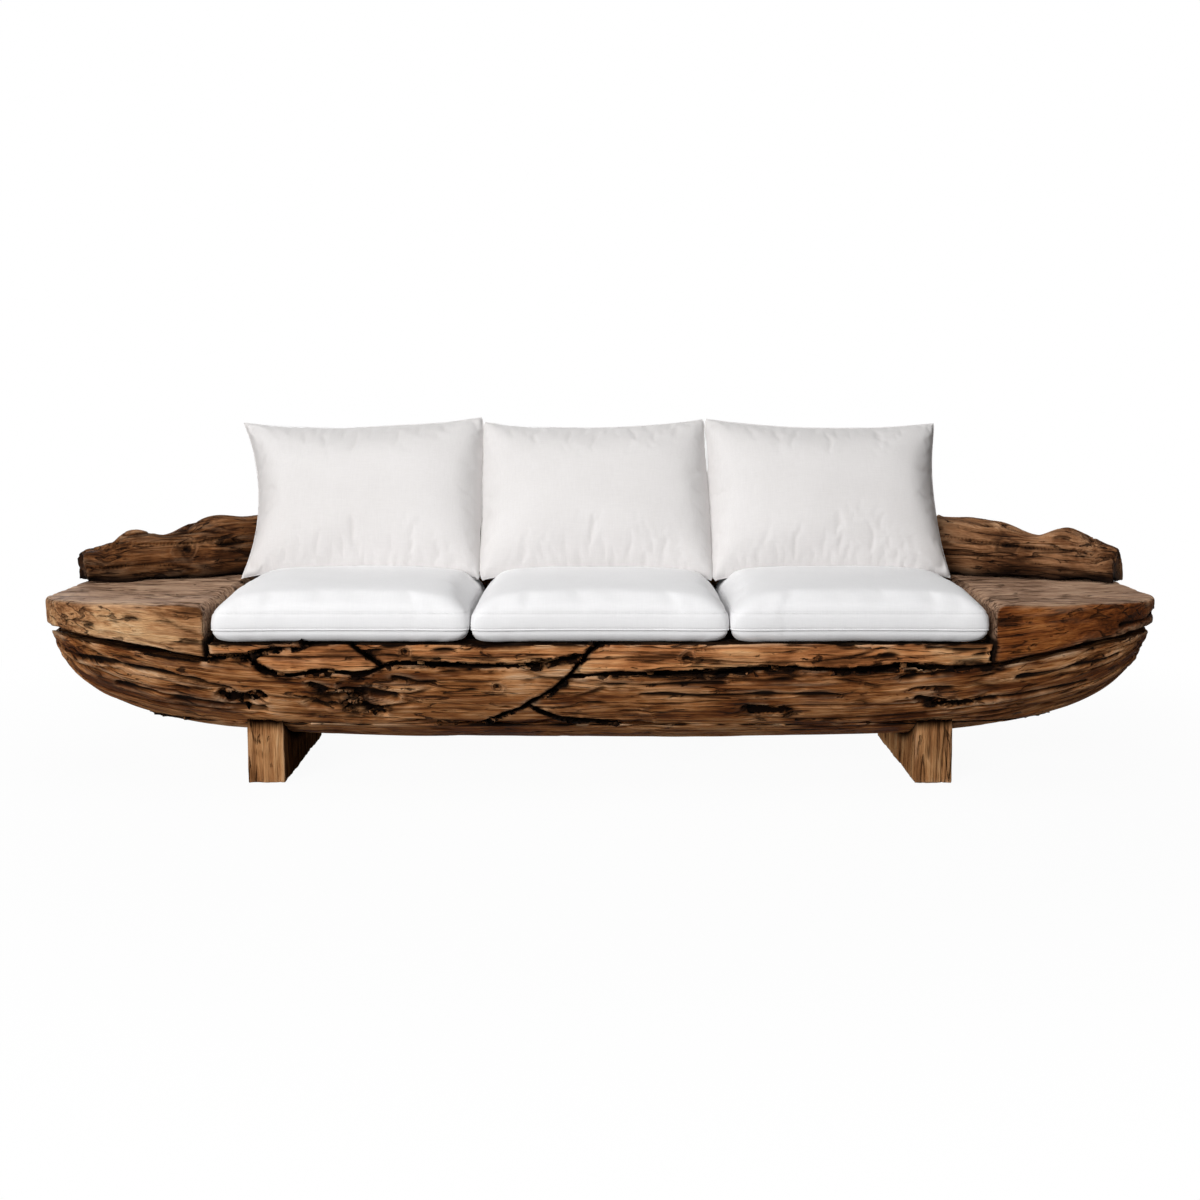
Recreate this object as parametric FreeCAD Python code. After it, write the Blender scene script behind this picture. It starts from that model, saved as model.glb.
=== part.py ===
"""Boat-shaped sofa of reclaimed teak: a planked hull on two cradle legs, with loose cushions."""
import FreeCAD, Part
import math
import os
from FreeCAD import Vector

os.makedirs("parts", exist_ok=True)

# Sizes are in millimetres. X runs along the seat, -Y is the front and Z is up.
LENGTH = 2750
FRONT_HALF_DEPTH = 416
REAR_HALF_DEPTH = 412
DECK_TOP = 470
WELL_DEPTH = 95
SEAT_TOP = DECK_TOP - WELL_DEPTH
FIT = 0.3

# Hull lines: the fullness numbers are superellipse exponents, so a larger one is squarer.
FRONT_FULLNESS = 5.5
REAR_FULLNESS = 2.5
KEEL_FULLNESS = 3.9
SECTION_FULLNESS = 2.2
HALF_LENGTH = LENGTH / 2
PLAN_OVERRUN = 21
PLAN_REACH = HALF_LENGTH + PLAN_OVERRUN
KEEL_DROP = 384
FLOOR_THICKNESS = 64
FLOOR_TOP = DECK_TOP - KEEL_DROP + FLOOR_THICKNESS
DECK_KEEL_OVERRUN = 65
DECK_KEEL_REACH = HALF_LENGTH + DECK_KEEL_OVERRUN
BELLY_END_INSET = 17
BELLY_HALF_LENGTH = HALF_LENGTH - BELLY_END_INSET
BELLY_KEEL_OVERRUN = 20
BELLY_KEEL_REACH = BELLY_HALF_LENGTH + BELLY_KEEL_OVERRUN
BELLY_PROUD = 12
FREEBOARD = 30
STATIONS = 7
GIRTH_STEPS = 16

# The hollow inside the hull.
WALL = 85
HOLLOW_FLOOR = 20
HOLLOW_END_WALL = 208
HOLLOW_HALF_LENGTH = BELLY_HALF_LENGTH - HOLLOW_END_WALL

# Three cushions side by side set the length of the well between the deck slabs.
CUSHION_PITCH = 626
WELL_CLEARANCE = 11
DECK_INNER_END = 1.5 * CUSHION_PITCH + WELL_CLEARANCE

# Deck slabs at the two ends.
DECK_TIP_THICKNESS = 66
LEFT_DECK_THICKNESS = 134
RIGHT_DECK_THICKNESS = 148
DECK_UNDERSIDE_TIP = DECK_TOP - DECK_TIP_THICKNESS
LEFT_UNDERSIDE = DECK_TOP - LEFT_DECK_THICKNESS
RIGHT_UNDERSIDE = DECK_TOP - RIGHT_DECK_THICKNESS
DECK_GAP = 8
DECK_CORNER = 10
DECK_TOP_ROUND = 24

# Slanting joints in the long rear pieces.
BELLY_SCARF_FOOT = 20
BELLY_SCARF_SLOPE = 0.425
RAIL_SCARF_FOOT = -60
RAIL_SCARF_SLOPE = -0.5

# Cracks between the fitted front pieces.
CRACK = 5
CRACK_SPARE = 84
CRACK_START = -FRONT_HALF_DEPTH - CRACK_SPARE
CRACK_DEPTH = 390
CRACK_SPAN = 950
CRACK_RISE = 225

# Rear rail and back logs.
REAR_RAIL_DEPTH = 187
REAR_RAIL_HEIGHT = 170
REAR_RAIL_FRONT = REAR_HALF_DEPTH - REAR_RAIL_DEPTH
REAR_RAIL_BOTTOM = DECK_TOP - REAR_RAIL_HEIGHT
LOG_INSET = 112
LOG_LINE = REAR_HALF_DEPTH - LOG_INSET
LOG_HEIGHT = 158
LOG_HALF_WIDTH = 76
LOG_FULLNESS = 2.5
LOG_WAVE = 0.035
LOG_RIPPLE = 0.02
LOG_SWELL = 1 + LOG_WAVE + LOG_RIPPLE
LOG_MITRE_INSET = 5
LOG_MITRE = DECK_INNER_END - LOG_MITRE_INSET
LOG_OVERHANG = 3
LOG_TIP_X = HALF_LENGTH + LOG_OVERHANG
LOG_TIP_Y = 40
LOG_TIP_HEIGHT = 70
LOG_TIP_HALF_WIDTH = 50
LOG_TAPER = 400
LOG_HUMP = 40
LOG_HUMP_PLACE = 128
LOG_HUMP_WIDTH = 58
LOG_STATIONS = 14
CENTRE_LOG_STATIONS = 8
LOG_SPARE = 90

# Cradle legs.
LEG_INSET = 115
LEG_CENTRE = DECK_INNER_END - LEG_INSET
LEG_THICKNESS = 95
LEG_LENGTH = 552
LEG_HOLD = 154
LEG_BLANK_HEIGHT = DECK_TOP - KEEL_DROP + LEG_HOLD

# Seat platform.
SLAT_COUNT = 9
SLAT_WIDTH = 125
SLAT_THICKNESS = 24
SLAT_CLEARANCE = 3
LEDGER_HEIGHT = 45
LEDGER_DEPTH = 40
FRONT_LEDGER_REACH = 61
FRONT_LEDGER_BACK = WALL + FRONT_LEDGER_REACH - FRONT_HALF_DEPTH
RIB_THICKNESS = 45
BULKHEAD_INSET = 6

# Fasteners.
DOWEL_RADIUS = 9
RAIL_DOWEL_LENGTH = 86
RAIL_DOWEL_INSET = 74
RAIL_DOWEL_DEPTH = 27
STRIP_DOWEL_DEPTH = 13
LOG_DOWEL_RADIUS = 12
LOG_DOWEL_LENGTH = 100
DECK_DOWEL_LENGTH = 100
DECK_DOWEL_DEPTH = 40
DECK_DOWEL_FRONT = 170
DECK_DOWEL_REAR = 50
DECK_DOWEL_INSET = 60
SCREW_LENGTH = 50
LEDGER_SCREW_LENGTH = 72
SCREW_RADIUS = 2.5
SCREW_HEAD_RADIUS = 5
BOLT_RADIUS = 6
BOLT_LENGTH = 105
BOLT_HEAD_RADIUS = 11
BOLT_HEAD_HEIGHT = 8
WASHER_RADIUS = 18
WASHER_THICKNESS = 3
BOLT_SPACING = 140

# Cushions.
CUSHION_GAP = 3
SEAT_WIDTH = CUSHION_PITCH - CUSHION_GAP
SEAT_FRONT_INSET = 11
SEAT_FRONT = SEAT_FRONT_INSET - FRONT_HALF_DEPTH
SEAT_REAR_CLEARANCE = 11
SEAT_BACK = REAR_RAIL_FRONT - SEAT_REAR_CLEARANCE
SEAT_THICKNESS = 130
SEAT_END_THICKNESS = 72
SEAT_CROWN = 9
SEAT_BULGE = 9
SEAT_END_PULL = 22
SEAT_DRAW = 4
SEAT_LIFT = 10
SEAT_ROUNDING = 6
BACK_WIDTH = SEAT_WIDTH - 1
BACK_HEIGHT = 448
BACK_HALF_THICKNESS = 94
BACK_EDGE = 7
BACK_FULLNESS = 2.6
BACK_EAR = 28
BACK_EAR_FULLNESS = 2
BACK_LEAN = 25
BACK_LOG_CLEARANCE = 2
BACK_SEAT_CLEARANCE = 1.2
BACK_CORE_END_INSET = 16
BACK_CORE_EDGE_INSET = 14
BACK_RIM_CLEARANCE = 1
COVER = 3
CUSHION_STATIONS = 6
LEAN_STEPS = 40


def superellipse(share, fullness):
    """Width left at this share of the way out, from 1 in the middle to 0 at the end."""
    return (1 - min(abs(share), 1) ** fullness) ** (1 / fullness)


def block(low_x, high_x, low_y, high_y, low_z, high_z):
    size = Vector(high_x - low_x, high_y - low_y, high_z - low_z)
    return Part.makeBox(size.x, size.y, size.z, Vector(low_x, low_y, low_z))


def side_prism(outline, low_y, high_y):
    """Upright prism whose outline is given as (x, z) corners."""
    corners = [Vector(x, low_y, z) for x, z in outline]
    face = Part.Face(Part.makePolygon(corners + corners[:1]))
    return face.extrude(Vector(0, high_y - low_y, 0))


def peg(x, y, low_z, high_z, radius):
    return Part.makeCylinder(radius, high_z - low_z, Vector(x, y, low_z))


def save(name, shape):
    shape.exportStep("parts/" + name + ".step")
    print(name, len(shape.Solids), round(shape.Volume / 1000), shape.isValid())


def pick(shape, x_share, z_share):
    """The solid of a cut wall whose middle is nearest to these shares of the well and of the wall."""
    spot = Vector(x_share * DECK_INNER_END, 0, FLOOR_TOP + z_share * (SEAT_TOP - FLOOR_TOP))

    def away(solid):
        middle = solid.CenterOfMass
        return math.hypot(middle.x - spot.x, middle.z - spot.z)

    return min(shape.Solids, key=away)


def hull_section(x, keel_reach, side_offset, keel_offset):
    front = FRONT_HALF_DEPTH * superellipse(x / PLAN_REACH, FRONT_FULLNESS) + side_offset
    rear = REAR_HALF_DEPTH * superellipse(x / PLAN_REACH, REAR_FULLNESS) + side_offset
    drop = KEEL_DROP * superellipse(x / keel_reach, KEEL_FULLNESS) + keel_offset
    points = []
    shares = []
    for step in range(GIRTH_STEPS + 1):
        share = step / GIRTH_STEPS
        angle = math.pi * share
        across = abs(math.cos(angle)) ** (2 / SECTION_FULLNESS)
        down = abs(math.sin(angle)) ** (2 / SECTION_FULLNESS)
        y = -front * across if share < 0.5 else rear * across
        points.append(Vector(x, y, DECK_TOP - drop * down))
        shares.append(share)
    girth = Part.BSplineCurve()
    girth.interpolate(Points=points, Parameters=shares)
    front_top = Vector(x, -front, DECK_TOP + FREEBOARD)
    rear_top = Vector(x, rear, DECK_TOP + FREEBOARD)
    edges = [
        Part.makeLine(front_top, points[0]),
        girth.toShape(),
        Part.makeLine(points[-1], rear_top),
        Part.makeLine(rear_top, front_top),
    ]
    return Part.Wire(edges)


def hull_body(half_length, keel_reach, side_offset, keel_offset):
    """Hull between two blunt ends, with its sides carried straight up past the deck."""
    sections = []
    for step in range(-STATIONS, STATIONS + 1):
        x = half_length * math.sin(0.5 * math.pi * step / STATIONS)
        sections.append(hull_section(x, keel_reach, side_offset, keel_offset))
    return Part.makeLoft(sections, True)


def front_spot(x, drop):
    """A place on the front wall, set out on the drawn well and carried to the real one."""
    across = DECK_INNER_END / CRACK_SPAN
    down = (SEAT_TOP - FLOOR_TOP) / CRACK_RISE
    return x * across, SEAT_TOP - drop * down


def crack(points):
    """Slot through the front wall along a line of points: each is x, and the drop below the rail's top."""
    points = [front_spot(*point) for point in points]
    upper = []
    lower = []
    for index, (x, z) in enumerate(points):
        before = points[max(index - 1, 0)]
        after = points[min(index + 1, len(points) - 1)]
        run = Vector(after[0] - before[0], 0, after[1] - before[1]).normalize()
        shift = Vector(-run.z, 0, run.x) * (CRACK / 2)
        middle = Vector(x, CRACK_START, z)
        upper.append(middle + shift)
        lower.append(middle - shift)
    sides = []
    for line in (upper, lower):
        curve = Part.BSplineCurve()
        curve.interpolate(line)
        sides.append(curve.toShape())
    ends = [Part.makeLine(upper[0], lower[0]), Part.makeLine(upper[-1], lower[-1])]
    outline = Part.Wire(Part.sortEdges(sides + ends)[0])
    return Part.Face(outline).extrude(Vector(0, CRACK_DEPTH, 0))


FAR = 2 * LENGTH
DEPTH = FRONT_HALF_DEPTH + REAR_HALF_DEPTH

upper_hull = hull_body(HALF_LENGTH, DECK_KEEL_REACH, 0, 0)
belly_hull = hull_body(BELLY_HALF_LENGTH, BELLY_KEEL_REACH, BELLY_PROUD, BELLY_PROUD)
hollow = hull_body(HOLLOW_HALF_LENGTH, BELLY_KEEL_REACH, -WALL, -HOLLOW_FLOOR)
hollow_fit = hull_body(HOLLOW_HALF_LENGTH, BELLY_KEEL_REACH, -WALL - FIT, -HOLLOW_FLOOR - FIT)
cradle_fit = hull_body(BELLY_HALF_LENGTH, BELLY_KEEL_REACH, BELLY_PROUD + FIT, BELLY_PROUD + FIT)


def deck_zone(side, underside, shift):
    """Everything over a deck slab's sloping underside, on one end of the hull."""
    slope = (DECK_UNDERSIDE_TIP - underside) / (HALF_LENGTH - DECK_INNER_END)
    outer = HALF_LENGTH + FREEBOARD
    outline = [
        (side * DECK_INNER_END, underside + shift),
        (side * outer, underside + slope * (outer - DECK_INNER_END) + shift),
        (side * outer, DECK_TOP + 2 * FREEBOARD),
        (side * DECK_INNER_END, DECK_TOP + 2 * FREEBOARD),
    ]
    return side_prism(outline, -DEPTH, DEPTH)


def deck_slab(side, underside):
    slab = upper_hull.common(deck_zone(side, underside, 0))
    slab = slab.common(block(-FAR, FAR, -FAR, FAR, 0, DECK_TOP))
    inner_top = []
    for edge in slab.Edges:
        box = edge.BoundBox
        at_inner_end = abs(abs(box.Center.x) - DECK_INNER_END) < 1 and box.XLength < 1
        if at_inner_end and box.ZMin > DECK_TOP - 1:
            inner_top.append(edge)
    slab = slab.makeFillet(DECK_TOP_ROUND, inner_top)
    corner = []
    for edge in slab.Edges:
        box = edge.BoundBox
        at_inner_end = abs(abs(box.Center.x) - DECK_INNER_END) < 1 and box.XLength < 1
        if at_inner_end and box.ZLength > DECK_TOP_ROUND and box.Center.y < 0:
            corner.append(edge)
    return slab.makeFillet(DECK_CORNER, corner)


# Dowels and bolts come first, so that every piece can be drilled for them.
SIDES = (-1, 1)
deck_dowel_x = (HOLLOW_HALF_LENGTH + HALF_LENGTH) / 2 - DECK_DOWEL_INSET
deck_dowel_top = DECK_TOP - DECK_DOWEL_DEPTH
deck_dowel_foot = deck_dowel_top - DECK_DOWEL_LENGTH
deck_dowels = []
for side in SIDES:
    for y in (-DECK_DOWEL_FRONT, DECK_DOWEL_REAR):
        deck_dowels.append(peg(side * deck_dowel_x, y, deck_dowel_foot, deck_dowel_top, LOG_DOWEL_RADIUS))

rail_dowel_y = RAIL_DOWEL_INSET - FRONT_HALF_DEPTH
rail_dowels = []
for share in (-0.95, -0.82, -0.69, -0.46, -0.2, 0.13, 0.45, 0.78):
    head = SEAT_TOP - (RAIL_DOWEL_DEPTH if share > -0.9 else STRIP_DOWEL_DEPTH)
    foot = head - RAIL_DOWEL_LENGTH
    rail_dowels.append(peg(share * DECK_INNER_END, rail_dowel_y, foot, head, DOWEL_RADIUS))

log_run = Vector(LOG_MITRE - LOG_TIP_X, LOG_LINE - LOG_TIP_Y, 0)
log_dowel_foot = DECK_TOP - LOG_DOWEL_LENGTH / 2
log_dowel_top = DECK_TOP + LOG_DOWEL_LENGTH / 2
log_dowels = []
for side in SIDES:
    for share in (0.25, 0.7):
        spot = Vector(LOG_TIP_X, LOG_TIP_Y, 0) + log_run * share
        log_dowels.append(peg(side * spot.x, spot.y, log_dowel_foot, log_dowel_top, LOG_DOWEL_RADIUS))
    x = side * DECK_INNER_END / 3
    log_dowels.append(peg(x, LOG_LINE, log_dowel_foot, log_dowel_top, LOG_DOWEL_RADIUS))

bolts = []
washers = []
for side in SIDES:
    for y in (-BOLT_SPACING / 2, BOLT_SPACING / 2):
        x = side * LEG_CENTRE
        seat = FLOOR_TOP + WASHER_THICKNESS
        shank = peg(x, y, seat - BOLT_LENGTH, seat, BOLT_RADIUS)
        head = peg(x, y, seat, seat + BOLT_HEAD_HEIGHT, BOLT_HEAD_RADIUS)
        bolts.append(shank.fuse(head).removeSplitter())
        washer = peg(x, y, FLOOR_TOP, seat, WASHER_RADIUS)
        washers.append(washer.cut(peg(x, y, FLOOR_TOP, seat, BOLT_RADIUS + FIT)))


def screw(x, y, z, direction, length):
    """Countersunk screw whose head lies flush at the given point."""
    slope = SCREW_HEAD_RADIUS - SCREW_RADIUS
    start = Vector(x, y, z)
    head = Part.makeCone(SCREW_HEAD_RADIUS, SCREW_RADIUS, slope, start, direction)
    shank = Part.makeCylinder(SCREW_RADIUS, length, start, direction)
    return head.fuse(shank).removeSplitter()


def screw_bore(x, y, z, direction, length):
    start = Vector(x, y, z) - direction * FIT
    slope = SCREW_HEAD_RADIUS - SCREW_RADIUS
    head = Part.makeCone(SCREW_HEAD_RADIUS + FIT, SCREW_RADIUS + FIT, slope + FIT, start, direction)
    shank = Part.makeCylinder(SCREW_RADIUS + FIT, length + 2 * FIT, start, direction)
    return head.fuse(shank)


def bores(pegs, radius):
    """Holes a little larger than the pegs that go in them."""
    holes = []
    for item in pegs:
        box = item.BoundBox
        holes.append(peg(box.Center.x, box.Center.y, box.ZMin - FIT, box.ZMax + FIT, radius + FIT))
    return Part.makeCompound(holes)


ledger_screws = []
ledger_screw_bores = []
screw_height = SEAT_TOP - SLAT_THICKNESS - LEDGER_HEIGHT / 3
for share in (-0.72, -0.38, -0.24, 0.19, 0.53, 0.86):
    x = share * DECK_INNER_END
    for y, into in ((FRONT_LEDGER_BACK - 1, -1), (REAR_RAIL_FRONT - LEDGER_DEPTH + 1, 1)):
        spot = (x, y, screw_height, Vector(0, into, 0), LEDGER_SCREW_LENGTH)
        ledger_screws.append(screw(*spot))
        ledger_screw_bores.append(screw_bore(*spot))
ledger_holes = Part.makeCompound(ledger_screw_bores)

deck_bores = bores(deck_dowels, LOG_DOWEL_RADIUS)
rail_bores = bores(rail_dowels, DOWEL_RADIUS)
log_bores = bores(log_dowels, LOG_DOWEL_RADIUS)
bolt_bores = bores(bolts, BOLT_RADIUS)

# Deck slabs.
left_deck = deck_slab(-1, LEFT_UNDERSIDE).cut(deck_bores).cut(log_bores)
right_deck = deck_slab(1, RIGHT_UNDERSIDE).cut(deck_bores).cut(log_bores)
save("left_deck_slab", left_deck)
save("right_deck_slab", right_deck)

# Front face: the cracks part it into fitted pieces.
left_crack = crack([
    (-965, 34), (-900, 34), (-852, 34), (-828, 57), (-765, 84), (-705, 77), (-640, 76),
    (-577, 81), (-524, 61), (-420, 53), (-309, 57), (-198, 56), (-125, 47), (-30, 30),
])
right_crack = crack([
    (-82, 85), (-15, 81), (75, 76), (194, 76), (295, 71), (444, 63), (600, 69), (718, 60),
    (840, 62), (965, 57),
])
slant_crack = crack([(12, -17), (-36, 32), (-72, 78), (-164, 151), (-243, 198), (-320, 235)])
lens_crack = crack([(-178, 156), (-129, 189), (-60, 208), (20, 217), (80, 235)])
leaf_top_crack = crack([(-858, 34), (-794, 18), (-735, 9), (-680, -9)])
leaf_end_crack = crack([(-606, -13), (-585, 13), (-550, 40), (-522, 64)])


def rotted_hollow(across, below, half_length, half_height, deep):
    """Shallow scoop where the belly's face has rotted away, lying along the grain."""
    x, z = front_spot(across, below)
    front = FRONT_HALF_DEPTH * superellipse(x / PLAN_REACH, FRONT_FULLNESS) + BELLY_PROUD
    drop = KEEL_DROP * superellipse(x / BELLY_KEEL_REACH, KEEL_FULLNESS) + BELLY_PROUD
    face_y = -front * superellipse((DECK_TOP - z) / drop, SECTION_FULLNESS)
    stretch = FreeCAD.Matrix()
    stretch.scale(half_length, deep, half_height)
    scoop = Part.makeSphere(1).transformGeometry(stretch)
    scoop.translate(Vector(x, face_y, z))
    return scoop


hollows = [
    rotted_hollow(-640, 143, 62, 16, 12),
    rotted_hollow(-575, 175, 48, 15, 14),
    rotted_hollow(-880, 147, 45, 11, 11),
    rotted_hollow(415, 182, 55, 10, 9), rotted_hollow(880, 161, 66, 10, 9),
]
wall_front = block(-FAR, FAR, -FAR, 0, FLOOR_TOP, DECK_TOP + FREEBOARD)
belly_front = belly_hull.common(wall_front).cut(hollow)
left_gap = deck_zone(-1, LEFT_UNDERSIDE, -DECK_GAP)
right_gap = deck_zone(1, RIGHT_UNDERSIDE, -DECK_GAP)
belly_front = belly_front.cut([left_gap, right_gap])
belly_front = belly_front.cut([left_crack, right_crack, slant_crack, lens_crack])
belly_front = belly_front.cut([rail_bores, deck_bores, ledger_holes] + hollows)
save("front_belly_left", pick(belly_front, -0.75, 0.4))
save("front_belly_right", pick(belly_front, 0.6, 0.35))
save("front_wedge_patch", pick(belly_front, -0.14, 0.1))

deck_clear = DECK_INNER_END - 1
rail_front = upper_hull.common(block(-deck_clear, deck_clear, -FAR, 0, FLOOR_TOP, SEAT_TOP)).cut(hollow)
rail_front = rail_front.cut([left_crack, right_crack, slant_crack, leaf_top_crack, leaf_end_crack])
rail_front = rail_front.cut([rail_bores, ledger_holes])
save("front_rail_strip", pick(rail_front, -0.9, 0.95))
save("front_leaf_patch", pick(rail_front, -0.7, 0.8))
save("front_rail_middle", pick(rail_front, -0.3, 0.9))
save("front_rail_right", pick(rail_front, 0.45, 0.85))

def scarf(foot, slope):
    """Thin slanting cut that parts a long rear piece in two."""
    top = DECK_TOP + FREEBOARD
    outline = [(foot, 0), (foot + FIT, 0), (foot + FIT + slope * top, top), (foot + slope * top, top)]
    return side_prism(outline, 0, DEPTH)


# Rear face: two belly lengths and two rail lengths, each joined on a slant.
wall_rear = block(-FAR, FAR, 0, FAR, FLOOR_TOP, DECK_TOP + FREEBOARD)
rail_space = block(-DECK_INNER_END, DECK_INNER_END, 0, FAR, REAR_RAIL_BOTTOM, FAR)
belly_rear = belly_hull.common(wall_rear).cut(hollow).cut([left_gap, right_gap, rail_space, deck_bores])
belly_rear = belly_rear.cut(scarf(BELLY_SCARF_FOOT, BELLY_SCARF_SLOPE))
save("rear_belly_left", pick(belly_rear, -0.7, 0.4))
save("rear_belly_right", pick(belly_rear, 0.7, 0.4))

rail_rear = upper_hull.common(block(-deck_clear, deck_clear, REAR_RAIL_FRONT, FAR, REAR_RAIL_BOTTOM, DECK_TOP))
rail_rear = rail_rear.cut([scarf(RAIL_SCARF_FOOT, RAIL_SCARF_SLOPE), log_bores, ledger_holes])
save("rear_rail_left", pick(rail_rear, -0.6, 1))
save("rear_rail_right", pick(rail_rear, 0.4, 1))

# Bottom planks.
PLANK_SEAM = 90
bottom = belly_hull.common(block(-FAR, FAR, -FAR, FAR, 0, FLOOR_TOP)).cut(bolt_bores)
save("bottom_plank_front", bottom.common(block(-FAR, FAR, -FAR, -PLANK_SEAM, 0, DECK_TOP)))
save("keel_plank", bottom.common(block(-FAR, FAR, -PLANK_SEAM + FIT, PLANK_SEAM - FIT, 0, DECK_TOP)))
save("bottom_plank_rear", bottom.common(block(-FAR, FAR, PLANK_SEAM, FAR, 0, DECK_TOP)))
save("cradle_bolts", Part.makeCompound(bolts))
save("cradle_washers", Part.makeCompound(washers))
save("deck_dowels", Part.makeCompound(deck_dowels))
save("rail_dowels", Part.makeCompound(rail_dowels))
save("log_dowels", Part.makeCompound(log_dowels))
save("ledger_screws", Part.makeCompound(ledger_screws))

# Cradle legs, scribed to the hull.
for side, name in ((-1, "left_cradle"), (1, "right_cradle")):
    low_x = side * LEG_CENTRE - LEG_THICKNESS / 2
    leg = block(low_x, low_x + LEG_THICKNESS, -LEG_LENGTH / 2, LEG_LENGTH / 2, 0, LEG_BLANK_HEIGHT)
    save(name, leg.cut(cradle_fit).cut(bolt_bores))


# Back logs: straight trunks with a flat underside, lofted along their own length.
def log_section(distance, height, half_width, roughness):
    points = []
    shares = []
    for step in range(GIRTH_STEPS + 1):
        share = step / GIRTH_STEPS
        angle = math.pi * share
        wave = LOG_WAVE * math.sin(3 * angle + distance / 90) + LOG_RIPPLE * math.sin(5 * angle - distance / 60)
        swell = 1 + roughness * wave
        across = math.copysign(abs(math.cos(angle)) ** (2 / LOG_FULLNESS), -math.cos(angle))
        up = abs(math.sin(angle)) ** (2 / LOG_FULLNESS)
        points.append(Vector(distance, half_width * across * swell, height * up * swell))
        shares.append(share)
    back = Part.BSplineCurve()
    back.interpolate(Points=points, Parameters=shares)
    return Part.Wire([back.toShape(), Part.makeLine(points[-1], points[0])])


def end_log(side):
    """Log from the tip of the hull to the mitre: it tapers to the tip, with one hump on the way."""
    length = log_run.Length
    sections = []
    for step in range(LOG_STATIONS + 1):
        distance = (length + LOG_SPARE) * step / LOG_STATIONS
        taper = min(distance / LOG_TAPER, 1)
        hump = LOG_HUMP * math.exp(-((distance - LOG_HUMP_PLACE) / LOG_HUMP_WIDTH) ** 2)
        height = LOG_TIP_HEIGHT + (LOG_HEIGHT - LOG_TIP_HEIGHT) * taper + hump
        half_width = LOG_TIP_HALF_WIDTH + (LOG_HALF_WIDTH - LOG_TIP_HALF_WIDTH) * taper
        roughness = math.sin(math.pi * min(distance / length, 1))
        sections.append(log_section(distance, height, half_width, roughness))
    trunk = Part.makeLoft(sections, True)
    turn = math.degrees(math.atan2(log_run.y, log_run.x))
    trunk.rotate(Vector(0, 0, 0), Vector(0, 0, 1), turn)
    trunk.translate(Vector(LOG_TIP_X, LOG_TIP_Y, DECK_TOP + FIT))
    return trunk if side > 0 else trunk.mirror(Vector(0, 0, 0), Vector(1, 0, 0))


def middle_log():
    half = LOG_MITRE + LOG_SPARE
    sections = []
    for step in range(-CENTRE_LOG_STATIONS, CENTRE_LOG_STATIONS + 1):
        distance = half * step / CENTRE_LOG_STATIONS
        roughness = superellipse(distance / LOG_MITRE, 4)
        height = LOG_HEIGHT * (1 + 0.03 * roughness * math.sin(distance / 170))
        half_width = LOG_HALF_WIDTH * (1 + 0.04 * roughness * math.sin(distance / 140 + 1))
        sections.append(log_section(distance, height, half_width, roughness))
    trunk = Part.makeLoft(sections, True)
    trunk.translate(Vector(0, LOG_LINE, DECK_TOP + FIT))
    return trunk


def mitre_block(side, shift):
    """Everything outside the mitre plane on one end."""
    blank = block(shift, FAR, -FAR, FAR, 0, FAR)
    half_turn = math.degrees(math.atan2(log_run.y, -log_run.x)) / 2
    blank.rotate(Vector(0, 0, 0), Vector(0, 0, 1), -half_turn)
    blank.translate(Vector(LOG_MITRE, LOG_LINE, 0))
    return blank if side > 0 else blank.mirror(Vector(0, 0, 0), Vector(1, 0, 0))


left_log = end_log(-1).common(mitre_block(-1, FIT / 2)).cut(log_bores)
right_log = end_log(1).common(mitre_block(1, FIT / 2)).cut(log_bores)
centre_log = middle_log().cut([mitre_block(-1, -FIT / 2), mitre_block(1, -FIT / 2), log_bores])
save("back_log_left", left_log)
save("back_log_right", right_log)
save("back_log_centre", centre_log)

# Seat platform: slats on two ledgers, with ribs and bulkheads under them.
slat_bottom = SEAT_TOP - SLAT_THICKNESS
ledger_bottom = slat_bottom - LEDGER_HEIGHT
slat_pitch = 2 * DECK_INNER_END / SLAT_COUNT
slat_places = [slat_pitch * (index - (SLAT_COUNT - 1) / 2) for index in range(SLAT_COUNT)]
front_row = FRONT_LEDGER_BACK - LEDGER_DEPTH / 2
rear_row = REAR_RAIL_FRONT - LEDGER_DEPTH / 2
screws = []
screw_bores = []
for x in slat_places:
    for y in (front_row, rear_row):
        spot = (x, y, SEAT_TOP - 1, Vector(0, 0, -1), SCREW_LENGTH)
        screws.append(screw(*spot))
        screw_bores.append(screw_bore(*spot))
slat_holes = Part.makeCompound(screw_bores)

front_ledger = block(-deck_clear, deck_clear, -FAR, FRONT_LEDGER_BACK, ledger_bottom, slat_bottom)
front_ledger = front_ledger.common(hollow_fit)
rear_low = REAR_RAIL_FRONT - LEDGER_DEPTH
rear_ledger = block(-deck_clear, deck_clear, rear_low, REAR_RAIL_FRONT, ledger_bottom, slat_bottom)
save("front_ledger", front_ledger.cut([slat_holes, ledger_holes]))
save("rear_ledger", rear_ledger.cut([slat_holes, ledger_holes]))
save("slat_screws", Part.makeCompound(screws))
for index, x in enumerate(slat_places):
    low_x = x - SLAT_WIDTH / 2
    slat = block(low_x, low_x + SLAT_WIDTH, -FAR, REAR_RAIL_FRONT - SLAT_CLEARANCE, slat_bottom, SEAT_TOP)
    slat = slat.common(hollow_fit).cut(slat_holes)
    save("seat_slat_" + str(index + 1), slat)

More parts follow.
